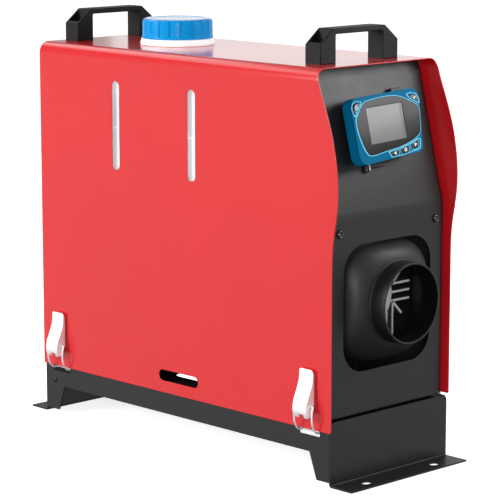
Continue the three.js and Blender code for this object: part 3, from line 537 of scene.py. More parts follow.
def hood():
    zb = Z_TOP - BEND_R
    s1 = zb - Z_HOOD_L
    s2 = s1 + BEND_R * pi / 2
    s3 = s2 + 2 * (HALF_W - BEND_R)
    s4 = s3 + BEND_R * pi / 2
    s5 = s4 + zb - Z_HOOD_R
    c = c_in = HALF_W - BEND_R

    def place(s, y, n):
        if s <= s1:
            return mm(-HALF_W - n, y, Z_HOOD_L + s)
        if s <= s2:
            f = (s - s1) / BEND_R
            return mm(-c - (BEND_R + n) * cos(f), y, zb + (BEND_R + n) * sin(f))
        if s <= s3:
            return mm(-c + s - s2, y, Z_TOP + n)
        if s <= s4:
            f = (s - s3) / BEND_R
            return mm(c + (BEND_R + n) * sin(f), y, zb + (BEND_R + n) * cos(f))
        return mm(HALF_W + n, y, zb - (s - s4))

    def z_at(s):
        return place(s, 0, 0)[2] * 1000
    S = [195 - Z_HOOD_L + 3.0 * i for i in range(int((s1 - 145) / 3.0) + 1)]
    S += [s1 + (s2 - s1) * i / 12 for i in range(13)]
    front = [(s, y_front(z_at(s))) for s in S]
    back_side = [(s3 + (s2 - s), y) for s, y in [(s1 + (s2 - s1) * i / 12, y_front(z_at(s1 + (s2 - s1) * i / 12))) for i in range(12, -1, -1)]]
    down = [s4 + 3.0 * i for i in range(1, int((zb - 195) / 3.0) + 1)]
    front2 = [(s, y_front(z_at(s))) for s in down]
    outline = fillet([(0, Y_REAR, 1.5), (0, Y_FRONT, 1.8), (60, Y_FRONT)], False, 4)[:0]
    outline = arc(1.5, Y_REAR - 1.5, 1.5, pi / 2, pi, 4) + arc(1.8, Y_FRONT + 1.8, 1.8, pi, 1.5 * pi, 5)
    outline += front + back_side + front2
    outline += arc(s5 - 1.8, Y_FRONT + 1.8, 1.8, -pi / 2, 0, 5) + arc(s5 - 1.5, Y_REAR - 1.5, 1.5, 0, pi / 2, 4)
    sl, sr = 302 - Z_HOOD_L, s4 + zb - 302
    holes = [rrect(86, 10.5, 5.2, sc, yc, 10) for sc in (sl, sr) for yc in (87.8, -19.4)]
    holes.append(rrect(10.6, 55, 5.2, 67 - Z_HOOD_L, 0, 8))
    holes.append(circle(NECK_R + 1.2, s2 + c, NECK_Y, 64))
    cuts = [(0, s1 + (s2 - s1) * i / 12) for i in range(13)] + [(0, s3 + (s4 - s3) * i / 12) for i in range(13)]
    bm = bmesh.new()
    slab(bm, [outline] + holes, -SHEET, 0, place, 0.34, 3, cuts)
    for co, no in (((0, PANEL_Y + 5, 0), (0, 1, 0)), ((0, PANEL_Y + 5, KNEE_Z), (0, cos(LEAN), -sin(LEAN))), ((0, 194, 0), (0, 1, 0))):
        bmesh.ops.bisect_plane(bm, geom=bm.verts[:] + bm.edges[:] + bm.faces[:], dist=1e-7, plane_co=mm(*co), plane_no=no)
    ob = done("hood_sheet", bm, RED, CASE, ["hood"], sharp=50)
    ob.data.materials.append(INNER_PAINTED_SHADE)          # near-black inside behind the panels: painted shade of the closed hood
    for f in ob.data.polygons:
        x, y, z = (c * 1000 for c in f.center)
        x = abs(x)
        inside = abs(x - HALF_W + SHEET) < 0.1 if z <= zb else (abs(z - Z_TOP + SHEET) < 0.1 if x <= c_in else math.hypot(x - c_in, z - zb) < BEND_R - 0.8)
        if inside and y_panel(z) + 5 < y < 194:
            f.material_index = 1
    return ob


# ------------------------------------------------------------------ front and rear panels
PR = 7.0                                      # bend radius of the panels' side edges
PF = PANEL_W - PR
PB = PF + PR * pi / 2


def panel_cross(a, n):
    """Across a panel: developed distance a from the middle -> (x, depth)."""
    k, a = (1 if a >= 0 else -1), abs(a)
    if a <= PF:
        return k * a, n
    if a <= PB:
        f = (a - PF) / PR
        return k * (PF + (PR - n) * sin(f)), PR - (PR - n) * cos(f)
    return k * (PANEL_W - n), PR + a - PB


def y_panel(z):
    w = 4.0
    t = z - KNEE_Z
    if t <= -w:
        return PANEL_Y
    if t >= w:
        return PANEL_Y + tan(LEAN) * t
    return PANEL_Y + tan(LEAN) * (t + w) ** 2 / (4 * w)


def panel_outline(depth):
    zt = Z_TOP - SHEET - 0.4
    r, xc = 10.2, PANEL_W - 10.2
    W = PB + depth - PR
    side = [(W, zt - r)] + [(PB - (PB - PF) * i / 6, None) for i in range(7)]
    pts = [(W, 61.0), (W, zt - r)]
    for i in range(9):
        a = PB - (PB - PF) * i / 8
        x = panel_cross(a, 0)[0]
        pts.append((a, zt - r + sqrt(max(0, r * r - (x - xc) ** 2)) if x > xc else zt))
    pts.append((xc, zt))
    return pts + [(-a, z) for a, z in reversed(pts)]


def front_panel():
    bm = bmesh.new()
    cuts = [(0, k * (PF + (PB - PF) * i / 8)) for i in range(9) for k in (-1, 1)]
    cuts += [(1, KNEE_Z + d) for d in (-4, -2.7, -1.3, 0, 1.3, 2.7, 4)]

    def place(a, z, n):
        x, d = panel_cross(a, n)
        return mm(x, y_panel(z) + d, z)
    slab(bm, [panel_outline(12), rrect(116, 117, 26, 0, 158, 14)], 0, PANEL_T, place, 0.3, 2, cuts)
    slab(bm, [rrect(2 * PF, 11.0, 1, 0, PANEL_Y + 6.8, 2)], 61.2, 62.4, mm, 0.3, 1)
    return done("front_panel_sheet", bm, BLACK, CASE, ["front_panel"], sharp=50)


def rear_panel():
    bm = bmesh.new()
    cuts = [(0, k * (PF + (PB - PF) * i / 8)) for i in range(9) for k in (-1, 1)]

    def place(a, z, n):
        x, d = panel_cross(a, n)
        return mm(x, 196.2 - d, z)
    slab(bm, [panel_outline(12), circle(56, 0, CORE_Z, 72), circle(7.3, 46, 84, 28)], 0, 1.2, place, 0.3, 2, cuts)
    slab(bm, [rrect(2 * PF, 11.0, 1, 0, 189.4, 2)], 61.2, 62.4, mm, 0.3, 1)
    return done("rear_panel_sheet", bm, BLACK, CASE, ["rear_panel"], sharp=50)


hood()
front_panel()
rear_panel()


def screw(name, x, z):
    """Button-head screw with a hexagon socket; a dark ring round its head is painted shadow."""
    def place(a, b, n):
        return mm(x + a, PANEL_Y - 0.3 - n, z + b)
    bm = bmesh.new()
    hexa = [(1.75 * cos(i * pi / 3 + 0.3), 1.75 * sin(i * pi / 3 + 0.3)) for i in range(6)]
    slab(bm, [circle(3.5, 0, 0, 40), hexa], 0.0, 1.85, place, 0.1, 5, top=1.2, bottom=0.05)
    slab(bm, [circle(2.6, 0, 0, 20)], 0.05, 0.35, place, 0.0)
    slab(bm, [circle(1.9, 0, 0, 16)], -7, 0.05, place, 0.0)
    done(name + "_head", bm, SCREW, CASE, [name], sharp=50)
    # dark flat ring under the head: painted shadow round the screw
    bm = bmesh.new()
    slab(bm, [circle(4.0, 0, 0, 40), circle(3.55, 0, 0, 40)], 0.0, 0.35, place, 0.08, 2)
    done(name + "_painted_shadow_ring", bm, RUBBER, CASE, [], sharp=50)


screw("panel_screw_left", -64, 229)
screw("panel_screw_right", 64, 229)

# ------------------------------------------------------------------ base
def foot(name, sign, tip):
    """Upright plate with an outward flange, one folded sheet with two slotted holes."""
    rv, t = 2.7, 1.5
    c = 199 + rv
    s1 = tip - c
    s2 = s1 + rv * pi / 2
    s3 = s2 + 59.5 - rv

    def place(x, s, n):
        if s <= s1:
            return mm(x, sign * (tip - s), n)
        if s <= s2:
            f = (s - s1) / rv
            return mm(x, sign * (c - (rv - n) * sin(f)), rv - (rv - n) * cos(f))
        return mm(x, sign * (199 + n), rv + s - s2)
    w = BASE_W
    outline = arc(-w + 1, 1, 1, pi, 1.5 * pi, 3) + arc(w - 1, 1, 1, -pi / 2, 0, 3) + arc(w - 5, s3 - 5, 5, 0, pi / 2, 7) + arc(-w + 5, s3 - 5, 5, pi / 2, pi, 7)
    holes = [rrect(10.4, 8, 3.99, x, tip - 214.5, 8) for x in (-46, 46)]
    bm = bmesh.new()
    slab(bm, [outline] + holes, 0, t, place, 0.25, 2, [(1, s1 + (s2 - s1) * i / 8) for i in range(9)])
    done(name + "_sheet", bm, BLACK, CASE, [name], sharp=50)


foot("front_foot", -1, 227.0)
foot("rear_foot", 1, 225.0)


def base_tray():
    bm = bmesh.new()
    for k, ztop in ((-1, 60.4), (1, 68.0)):
        o = fillet([(-198.7, 4, 0.8), (-183, 4, 0.8), (-174, 29, 1.5), (172, 29, 1.5), (181, 4, 0.8), (198.7, 4, 0.8), (198.7, 59, 0.8),
                    (183, 59), (183, ztop, 0.5), (-183, ztop, 0.5), (-183, 59), (-198.7, 59, 0.8)], True, 4)
        slots = [rrect(25.6, 6.2, 0.4, y, 47.3, 2) for y in LATCH_Y]
        slab(bm, [o] + slots, 77.2, 78.7, lambda y, z, n, k=k: mm(k * n, y, z), 0.22, 2)
    slab(bm, [rrect(154.2, 397.4, 0.6, 0, 0, 2), rrect(95.2, 63, 12, 0, 14, 8)],
         57, 58.2, mm, 0.2, 1)
    done("base_tray_sheet", bm, BLACK, CASE, ["base_tray"], sharp=50)


base_tray()
for nm, k in (("tray_screw_left", -1), ("tray_screw_right", 1)):
    bm = bmesh.new()
    lathe(bm, [(0, 0), (2.3, 0), (2.4, 0.2), (2.3, 0.6), (1.6, 1.0), (0.9, 1.08), (0.8, 0.5), (0, 0.5)], 28,
          lambda a, b, h, k=k: mm(k * (BASE_W + 0.3 + h), 187 + a, 34 + b))
    done(nm + "_head", bm, BLACK, CASE, [nm])

# ------------------------------------------------------------------ handles
def handle(name, y0):
    """Bridge handle with sloped shoulders; each slope has a pocket over its screw."""
    half, leg, h, bar, side, slope, depth = 51.0, 20.0, 31.0, 5.0, 17.5, 17.0, 19.6
    z0 = Z_TOP + 0.04
    o = fillet([(-half, 0), (-half + leg, 0), (-half + leg, h - bar, 1.2), (half - leg, h - bar, 1.2), (half - leg, 0), (half, 0),
                (half, side, 0.8), (half - slope, h, 1.5), (-half + slope, h, 1.5), (-half, side, 0.8)], True, 3)
    bm = bmesh.new()
    slab(bm, [o], -depth / 2, depth / 2, lambda x, z, n: mm(x, y0 + n, z0 + z), 0.9, 3)
    ob = done(name + "_grip", bm, HANDLE, CASE, [name], sharp=50)
    # upright wells, open on the slopes
    cutter = bmesh.new()
    for k in (-1, 1):
        slab(cutter, [rrect(13.0, depth - 4.6, 1.0, k * 42.2, y0, 4)], z0 + 6.0, z0 + 45, mm, 0.0)
    bmesh.ops.recalc_face_normals(cutter, faces=cutter.faces)
    me = bpy.data.meshes.new(name + "_pocket")
    cutter.to_mesh(me)
    cutter.free()
    c = bpy.data.objects.new(name + "_pocket", me)
    bpy.context.scene.collection.objects.link(c)
    b = ob.modifiers.new("pocket", "BOOLEAN")
    b.operation, b.object, b.solver = "DIFFERENCE", c, "EXACT"
    while ob.modifiers[0].name != "pocket":
        bpy.context.view_layer.objects.active = ob
        bpy.ops.object.modifier_move_up(modifier="pocket")
    dg = bpy.context.evaluated_depsgraph_get()
    new = bpy.data.meshes.new_from_object(ob.evaluated_get(dg), depsgraph=dg)
    ob.modifiers.clear()
    old, ob.data = ob.data, new
    bpy.data.objects.remove(c)
    for p in new.polygons:
        p.use_smooth = True
    new.set_sharp_from_angle(angle=math.radians(40))
    w = ob.modifiers.new("normals", "WEIGHTED_NORMAL")
    w.keep_sharp = True
    # screws at the bottom of the wells
    sb = bmesh.new()
    for k in (-1, 1):
        hexa = [(k * 42.2 + 2.0 * cos(i * pi / 3), y0 + 2.0 * sin(i * pi / 3)) for i in range(6)]
        slab(sb, [circle(4.2, k * 42.2, y0, 28), hexa], z0 + 5.9, z0 + 9.4, mm, 0.4, 2)
        slab(sb, [circle(3.0, k * 42.2, y0, 20)], z0 + 5.9, z0 + 7.2, mm, 0)
    done(name + "_screws", sb, BLACK, CASE, [], sharp=50)
    return ob


handle("handle_front", HANDLE_Y[0])
handle("handle_rear", HANDLE_Y[1])

# ------------------------------------------------------------------ outlet cowl and exchanger end
def cowl():
    st = [(-208.6, 38.6, 38.6, 0.99, DUCT_Z), (-208, 40.5, 40.5, 0.97, DUCT_Z), (-205.5, 45.6, 45.4, 0.885, 161.2), (-202, 50, 49.5, 0.8, 160.8),
          (-198, 52.8, 52.4, 0.71, 160.2), (-194, 54.5, 54, 0.64, 160), (-189, 55.5, 55.0, 0.6, 160), (-184, 56, 55.5, 0.58, 160),
          (-178, 57.3, 56.8, 0.565, 160.5), (-172, 58.8, 58.2, 0.55, 161), (-156, 58.8, 58.2, 0.55, 161)]
    fine = spline(st, 3)
    NN = 96

    def ring(y, hw, hh, e, zc, d=0.0):
        out = []
        for i in range(NN):
            a = 2 * pi * i / NN
            c, s = cos(a), sin(a)
            out.append(((hw - d) * math.copysign(abs(c) ** e, c), y, zc + (hh - d) * math.copysign(abs(s) ** e, s)))
        return out
    R, z = DUCT_R, DUCT_Z
    rings = [ring(RIM_Y, R - 0.5, R - 0.5, 1, z), ring(RIM_Y + 0.15, R - 0.15, R - 0.15, 1, z), ring(RIM_Y + 0.5, R, R, 1, z)]
    rings += [ring(y, R, R, 1, z) for y in (-221, -217, -213, -209.4)] + [ring(-209, R + 0.15, R + 0.15, 1, z), ring(-208.8, R + 0.5, R + 0.5, 0.995, z)]
    rings += [ring(*f) for f in fine]
    inner = [ring(f[0] + (1.0 if f[0] < -175 else -0.2), f[1], f[2], f[3], f[4], 2.4) for f in fine]
    rings += inner[::-1]
    Ri = R - 2.2
    rings += [ring(-206.6, Ri + 0.2, Ri + 0.2, 1, z), ring(-209, Ri, Ri, 1, z)] + [ring(y, Ri, Ri, 1, z) for y in (-213, -217, -221)]
    rings += [ring(RIM_Y + 0.5, Ri, Ri, 1, z), ring(RIM_Y + 0.15, Ri + 0.15, Ri + 0.15, 1, z), ring(RIM_Y, Ri + 0.5, Ri + 0.5, 1, z)]
    bm = bmesh.new()
    loft(bm, rings, closed=True)
    ob = done("outlet_cowl", bm, DUCT, CASE, ["outlet_shroud"], sharp=60, weighted=False)
    ob.data.materials.append(DUCT_PAINTED_SHADE)         # the bore is rougher; its darker, duller black is painted shade inside the bore
    for f in ob.data.polygons:
        x, zz = f.center.x * 1000, f.center.z * 1000 - z
        r = math.hypot(x, zz)
        if r < R - 1.2 and f.center.y * 1000 > RIM_Y + 0.6 and f.normal.x * x + f.normal.z * zz < 0.2 * r:
            f.material_index = 1
    return ob


cowl()


def exchanger():
    """Cast exchanger: a round can with a smaller nose; straight fins stand square to the casing's four walls."""
    z = CORE_Z
    bm = bmesh.new()

    def place(a, b, n):
        return mm(a, n, z + b)

    def turn(a, b, h):
        return mm(a, h, z + b)
    lathe(bm, [(0, -176), (12, -175.8), (27.2, -175.4), (28.4, -174.9), (29.0, -174), (29.2, -172), (29.2, -150), (0, -150)], 80, turn)
    lathe(bm, [(20, -158), (34, -158), (36, -156.6), (36.9, -154), (36.9, 4), (33, 4), (33, -146), (20, -146)], 64, turn, closed=True)
    T = 1.3

    def bar(x0, x1, h0, h1, y0=-175):
        slab(bm, [[(x0, h0), (x1, h0), (x1, h1), (x0, h1)]], y0, 4, place, 0.5, 3)
    for k in (-1, 1):
        for h in (-8, 0, 8):
            a, b = sorted((k * 25, k * 53))
            bar(a, b, h - T, h + T)
        for x, h0, h1 in ((-30, 8, 40), (-22, 8, 49), (-14, 20, 52.5), (-5, 24, 53), (5, 24, 53), (14, 20, 52.5), (22, 8, 49), (30, 8, 40)):
            a, b = sorted((k * h0, k * h1))
            bar(x - T, x + T, a, b)
        for m in (-1, 1):
            slab(bm, [[(m * a, k * b) for a, b in ((27.4, 8.4), (29.4, 6.4), (43.6, 20.6), (41.6, 22.6))]], -175, 4, place, 0.5, 3)
    ob = done("exchanger_casting", bm, CAST, CASE, ["heat_exchanger"], sharp=50)
    ob.data.materials.append(CAST_PAINTED_SHADE)       # dark sides are painted shade; the front ends keep the bright cast finish
    for f in ob.data.polygons:
        if f.normal.y > -0.75:
            f.material_index = 1
    return ob


exchanger()

# ------------------------------------------------------------------ tank, ring and cap
def tank():
    x, y0, y1, z0, z1, r = 75.0, -120.0, 178.0, 236.0, 362.0, 16.0
    bm = bmesh.new()
    n = 7
    # rounded box by superposed sphere corners
    pts = []
    for k in range(2 * n + 2):
        f = -pi / 2 + (pi / 2) * (k if k <= n else k - 1) / n if k <= n else (pi / 2) * (k - n - 1) / n
        zz = (z0 + r if k <= n else z1 - r) + r * sin(f)
        ins = r * (1 - cos(f))
        pts.append([(a, b, zz) for a, b in rrect(2 * (x - ins), (y1 - y0) - 2 * ins, max(r - ins, 0.05), 0, (y0 + y1) / 2, 7)])
    loft(bm, pts)
    lathe(bm, [(28, 355), (28, 395.6), (27.6, 396), (25.4, 396), (25, 395.6), (25, 355)], 56, lambda a, b, h: mm(a, b + NECK_Y, h), closed=True)
    slab(bm, [circle(3.4, -52, -96, 20)], 226, 242, mm, 0.3, 1)
    # raised pinch seam round the middle
    slab(bm, [rrect(2 * x + 1.6, y1 - y0 + 1.6, r + 0.8, 0, (y0 + y1) / 2, 8), rrect(2 * x - 2, y1 - y0 - 2, r - 1, 0, (y0 + y1) / 2, 8)], 298.6, 299.8, mm, 0.3, 1)
    return done("tank_shell", bm, TANK, CASE, ["fuel_tank"], sharp=45)


tank()

bm = bmesh.new()
prof = fillet([(28.4, 376.3), (36.4, 376.3, 0.3), (36.6, 379.0, 0.5), (35.7, 379.4, 0.3), (35.7, 382.2, 0.9), (28.4, 382.2, 0.4)], True, 3)
lathe(bm, prof, 96, lambda a, b, h: mm(a, b + NECK_Y, h), closed=True)
done("neck_ring", bm, WHITE, CASE, ["tank_neck_ring"])


def cap():
    z0, z1, R = 382.6, 401.5, 35.0
    RIBS = 20

    def radius(r, a, h):
        if r < 30 or h < z0 + 2.2 or h > z1 - 0.9:
            return r
        t = (a * RIBS / (2 * pi)) % 1.0
        w = abs(t - 0.5) * 2           # 0 in the middle of a pad, 1 in the middle of a groove
        g = min(1, max(0, (w - 0.62) / 0.16))
        g = g * g * (3 - 2 * g)
        k = min(1, (h - z0 - 2.2) / 1.2, max(0, (z1 - 0.9 - h) / 1.8))
        return r - 1.45 * g * k
    outer = [(0, z1 - 0.3), (12, z1 - 0.3), (26.2, z1 - 0.3), (26.5, z1 - 0.3), (26.9, z1 - 0.2), (27.4, z1 - 0.05), (27.8, z1), (28.2, z1), (31.0, z1), (31.2, z1), (32.4, z1 - 0.35), (33.5, z1 - 1.1), (34.1, z1 - 2.2), (34.3, z1 - 3.4)]
    outer += [(34.3 + 0.1 * i / 8, z1 - 3.4 - (z1 - 3.4 - z0 - 3.2) * i / 8) for i in range(1, 9)]
    outer += [(34.5, z0 + 2.2), (34.95, z0 + 1.6), (35.0, z0 + 0.8), (34.8, z0 + 0.15), (34.3, z0), (29.6, z0), (29.2, z0 + 0.4), (29.2, z1 - 2.5), (0, z1 - 2.5)]
    bm = bmesh.new()
    lathe(bm, outer, 320, lambda a, b, h: mm(a, b + NECK_Y, h), radius=radius)
    ob = done("screw_cap", bm, CAPBLUE, "cap", ["fuel_cap"], sharp=60, weighted=False)
    ob.data.materials.append(CAPTOP)
    for f in ob.data.polygons:
        if f.center.z * 1000 > z1 - 1.6:
            f.material_index = 1
    return ob


cap()

# ------------------------------------------------------------------ controller
NX, NY, NZ = 0.0, -cos(LEAN), sin(LEAN)
UX, UY, UZ = 0.0, sin(LEAN), cos(LEAN)
CV = 70.5


def ctrl(a, b, n):
    """Local millimetres on the leaning panel: across, up the slope from the controller's middle, out."""
    v = b + CV
    return mm(a, PANEL_Y + v * UY + n * NY, KNEE_Z + v * UZ + n * NZ)


def strip(bm, loop, w, n0, n1, bevel=0.15):
    """A narrow raised line along a closed outline."""
    l = turned(loop, True)
    slab(bm, [offset(l, -w / 2), offset(l, w / 2)], n0, n1, ctrl, bevel, 2)


BODY_OUT = fillet([(-44.5, 32.3, 9), (47.6, 37, 10), (39.6, -21.8, 7), (-44, -28.2, 9)], True, 10)
FACE_OUT = [tuple(v) for v in spline([(-41.4, 2.8), (-39.6, -5), (-37.8, -10.6), (-34.6, -16.9), (-31.4, -19.6), (-24.8, -19.8), (-13.3, -18.2),
                                      (-4.7, -17), (6.9, -15.6), (18.8, -13.2), (28, -10.4), (35.2, -7.2), (38, -5), (39.7, -0.8), (40.9, 5.9),
                                      (41.9, 13.7), (41.7, 19.2), (36.4, 22.6), (30, 25.6), (23.4, 28.3), (15.8, 30.4), (7.8, 31.2), (-0.7, 31),
                                      (-10.7, 30.4), (-19.3, 29.4), (-26, 28.4), (-29.8, 26.6), (-33.2, 23.6), (-36.2, 20), (-39.6, 15.8),
                                      (-41.3, 12.6), (-41.7, 9)], 3, True)]
SCREEN = [(-27.2, -10.2), (19.8, -8.1), (20, 24.4), (-27.2, 22.4)]
KEYS = {
    "power": (1.6, (-38.4, 24.0), [(-40.1, 27.8), (-35.3, 28.8), (-31.6, 27.8), (-34.6, 24.8), (-37.8, 20.8), (-40.8, 17.6), (-42.2, 18.2), (-42.8, 21.9), (-42.2, 25.4)]),
    "ok": (1.2, (38.8, 27.4), [(31.4, 29.3), (37.4, 30.6), (42, 29.4), (43.8, 26.6), (43, 23.6), (38, 25.2), (33.6, 27.2)]),
    "left": (1.0, (2.0, -20.3), [(-4.6, -19.4), (4.6, -17.8), (8, -18.8), (6.2, -22.6), (-1.4, -23.2)]),
    "set": (1.0, (16.0, -18.6), [(10, -17.8), (20.2, -15.2), (22.2, -16.2), (19.8, -21.4), (11.4, -22.2)]),
    "right": (1.0, (30.0, -15.2), [(24.4, -14.6), (33.6, -11.6), (35.8, -12.6), (33.4, -18.2), (25.4, -19.2)])}

ZONES = [[(-29.2, 29.6), (-37.6, 30.4), (-43.1, 28.7), (-45.2, 23.4), (-43.3, 16.6), (-41.2, 14.5), (-36.8, 21.0), (-31.6, 26.1)],
         [(27.6, 31.4), (34.1, 33.2), (42.6, 31.6), (46.2, 26.4), (45.2, 20.6), (39.8, 23.2), (32.4, 26.6)],
         [(-7.6, -18.0), (-3.4, -24.6), (11.6, -23.9), (34.2, -20.6), (37.6, -18.6), (39.4, -9.6), (35.0, -9.1), (24.2, -12.6), (6.7, -16.4)]]


def key_outline(k, grow=0.0):
    r, _, pts = KEYS[k]
    return offset(turned(fillet([(x, y, min(r, 0.9)) for x, y in pts], True, 4), True), -grow)


def controller():
    n0, n1 = 6.0, 18.0
    holes = [key_outline(k, 0.25) for k in KEYS]
    bm = bmesh.new()
    out = turned(BODY_OUT, True)
    slab(bm, [out], n0, 11.6, ctrl, 0.8, 3, bottom=1.6, top=0.25)
    slab(bm, [offset(out, 0.35)], 11.4, 12.2, ctrl, 0)
    slab(bm, [out], 12.0, n1 - 2.6, ctrl, 0.25, 2, top=0.0)
    slab(bm, [out] + holes, n1 - 2.6, n1, ctrl, 0.5, 4, bottom=0.0, top=0.0)
    slab(bm, [out, offset(out, 1.7)], n1 - 2.0, n1 + 0.05, ctrl, 0.5, 4, bottom=0.0, top=0.8)
    # short raised ribs on both ends, over the seam
    for k in (-1, 1):
        for i in range(4):
            b0 = 0.5 + 5.0 * i - (2 if k > 0 else 4)
            x0 = -44.3 if k < 0 else 42.0 + 0.136 * b0
            slab(bm, [rrect(1.2, 3.4, 0.5, x0, b0 + 3, 3)], 13.4, 14.6, ctrl, 0.2, 2)
    done("controller_shell", bm, CTRLBLUE, CASE, ["controller_body"], sharp=50)
    # dark front plate with the display's window
    bm = bmesh.new()
    slab(bm, [FACE_OUT, offset(turned(SCREEN, True), -0.2)], n1 - 0.2, n1 + 1.6, ctrl, 0.35, 3)
    slab(bm, [offset(turned(FACE_OUT, True), 0.8)], n1 - 0.6, n1 + 0.9, ctrl, 0)
    done("controller_front", bm, FACE, CASE, ["controller_face"], sharp=50)
    # light cyan lines along the face, the key zones and the lower keys: painted highlights on the edges
    bm = bmesh.new()
    strip(bm, offset(turned(FACE_OUT, True), -0.3), 0.65, n1 - 0.1, n1 + 1.3, 0.25)
    for zone in ZONES:
        strip(bm, offset(turned(fillet([(x, y, 1.0) for x, y in zone], True, 4), True), 0.9), 0.55, n1 - 0.25, n1 + 0.55, 0.18)
    for k in ("left", "set", "right"):
        strip(bm, key_outline(k, 0.5), 0.35, n1 - 0.25, n1 + 0.25, 0.1)
    done("controller_rim_painted_highlight", bm, RIM_PAINTED_HIGHLIGHT, CASE, [], sharp=50)
    bm = bmesh.new()
    slab(bm, [SCREEN], n1 + 0.9, n1 + 1.2, ctrl, 0.05, 1)
    done("controller_screen", bm, LCD, CASE, ["controller_display"], sharp=50)
    # darker strip down the display's right side: painted shade of the bezel
    bm = bmesh.new()
    slab(bm, [[(16.2, -8.1), (19.7, -8.0), (19.9, 24.3), (16.4, 24.1)]], n1 + 1.1, n1 + 1.3, ctrl, 0.05, 1)
    done("controller_screen_painted_shade", bm, LCD_PAINTED_SHADE, CASE, [], sharp=50)
    # holder: cradle plate, a tab above the body and a lip with a small hook below it
    bm = bmesh.new()
    slab(bm, [rrect(76, 48, 6, 1, 5, 6)], 0.3, 5.7, ctrl, 0.8, 2)
    slab(bm, [rrect(14, 15.2, 1.5, 31.6, 31.6, 4)], 0.3, 5.0, ctrl, 0.6, 3)
    slab(bm, [rrect(7.4, 23.4, 1.4, -20.3, -21.7, 4)], 0.3, 3.2, ctrl, 0.5, 2)
    slab(bm, [rrect(22, 20.4, 3.0, -9, -20.2, 5)], 0.3, 2.4, ctrl, 0.5, 2)
    done("controller_cradle", bm, PLASTIC, CASE, ["controller_holder"], sharp=50)
    bm = bmesh.new()
    wire(bm, [(-19.0, -27.0, 3.9), (-19.2, -30.0, 4.2), (-19.0, -32.0, 3.9), (-18.4, -32.6, 3.2)], 0.5, 10, 5, ctrl)
    done("cradle_hook", bm, ZINC, CASE, [], sharp=60, weighted=False)
    for k in KEYS:
        bm = bmesh.new()
        slab(bm, [key_outline(k, -0.5 if k == "power" else -0.05)], n1 - 1.4, n1 + 0.75, ctrl, 0.5, 4, bottom=0.1, top=0.6)
        done("key_" + k, bm, KEY, "key_" + k, ["button_" + k], sharp=50)
        bm = bmesh.new()
        x, y = KEYS[k][1]
        h0, h1 = n1 + 0.70, n1 + 0.82
        if k == "power":
            ring = arc(x, y - 0.2, 1.75, pi * 0.5 + 0.55, pi * 2.5 - 0.55, 24) + arc(x, y - 0.2, 1.15, pi * 2.5 - 0.75, pi * 0.5 + 0.75, 24)
            slab(bm, [ring], h0, h1, ctrl, 0)
            slab(bm, [rrect(0.6, 2.0, 0.25, x, y + 1.3, 3)], h0, h1, ctrl, 0)
        elif k == "ok":
            slab(bm, [[(x - 1.9, y + 0.1), (x - 1.35, y + 0.65), (x - 0.5, y - 0.25), (x + 1.4, y + 1.5), (x + 1.95, y + 0.95), (x - 0.5, y - 1.35)]], h0, h1, ctrl, 0)
        elif k == "left":
            slab(bm, [[(x - 2.4, y - 0.3), (x + 1.2, y + 1.6), (x + 1.2, y - 1.9)]], h0, h1, ctrl, 0)
        elif k == "right":
            slab(bm, [[(x + 2.4, y + 0.4), (x - 1.2, y + 1.9), (x - 1.2, y - 1.8)]], h0, h1, ctrl, 0)
        else:
            gear = []
            for i in range(8):
                for da, r in ((-0.20, 1.5), (-0.13, 2.1), (0.13, 2.1), (0.20, 1.5)):
                    a = i * pi / 4 + da
                    gear.append((x + r * cos(a), y + r * sin(a)))
            slab(bm, [gear, circle(0.7, x, y, 16)], h0, h1, ctrl, 0)
        done("mark_" + k, bm, SYMBOL, "key_" + k, [], weighted=False)


controller()

# ------------------------------------------------------------------ toggle latches
LEVER = [(10.6, 62.55), (11.8, 66.5), (12.1, 71.0), (11.15, 76.8), (8.7, 83.0), (6.0, 89.2), (4.25, 94.4), (3.6, 99.5), (3.3, 106.0)]
P_PIN, A_PIN = (6.4, 66.3), (5.6, 73.3)


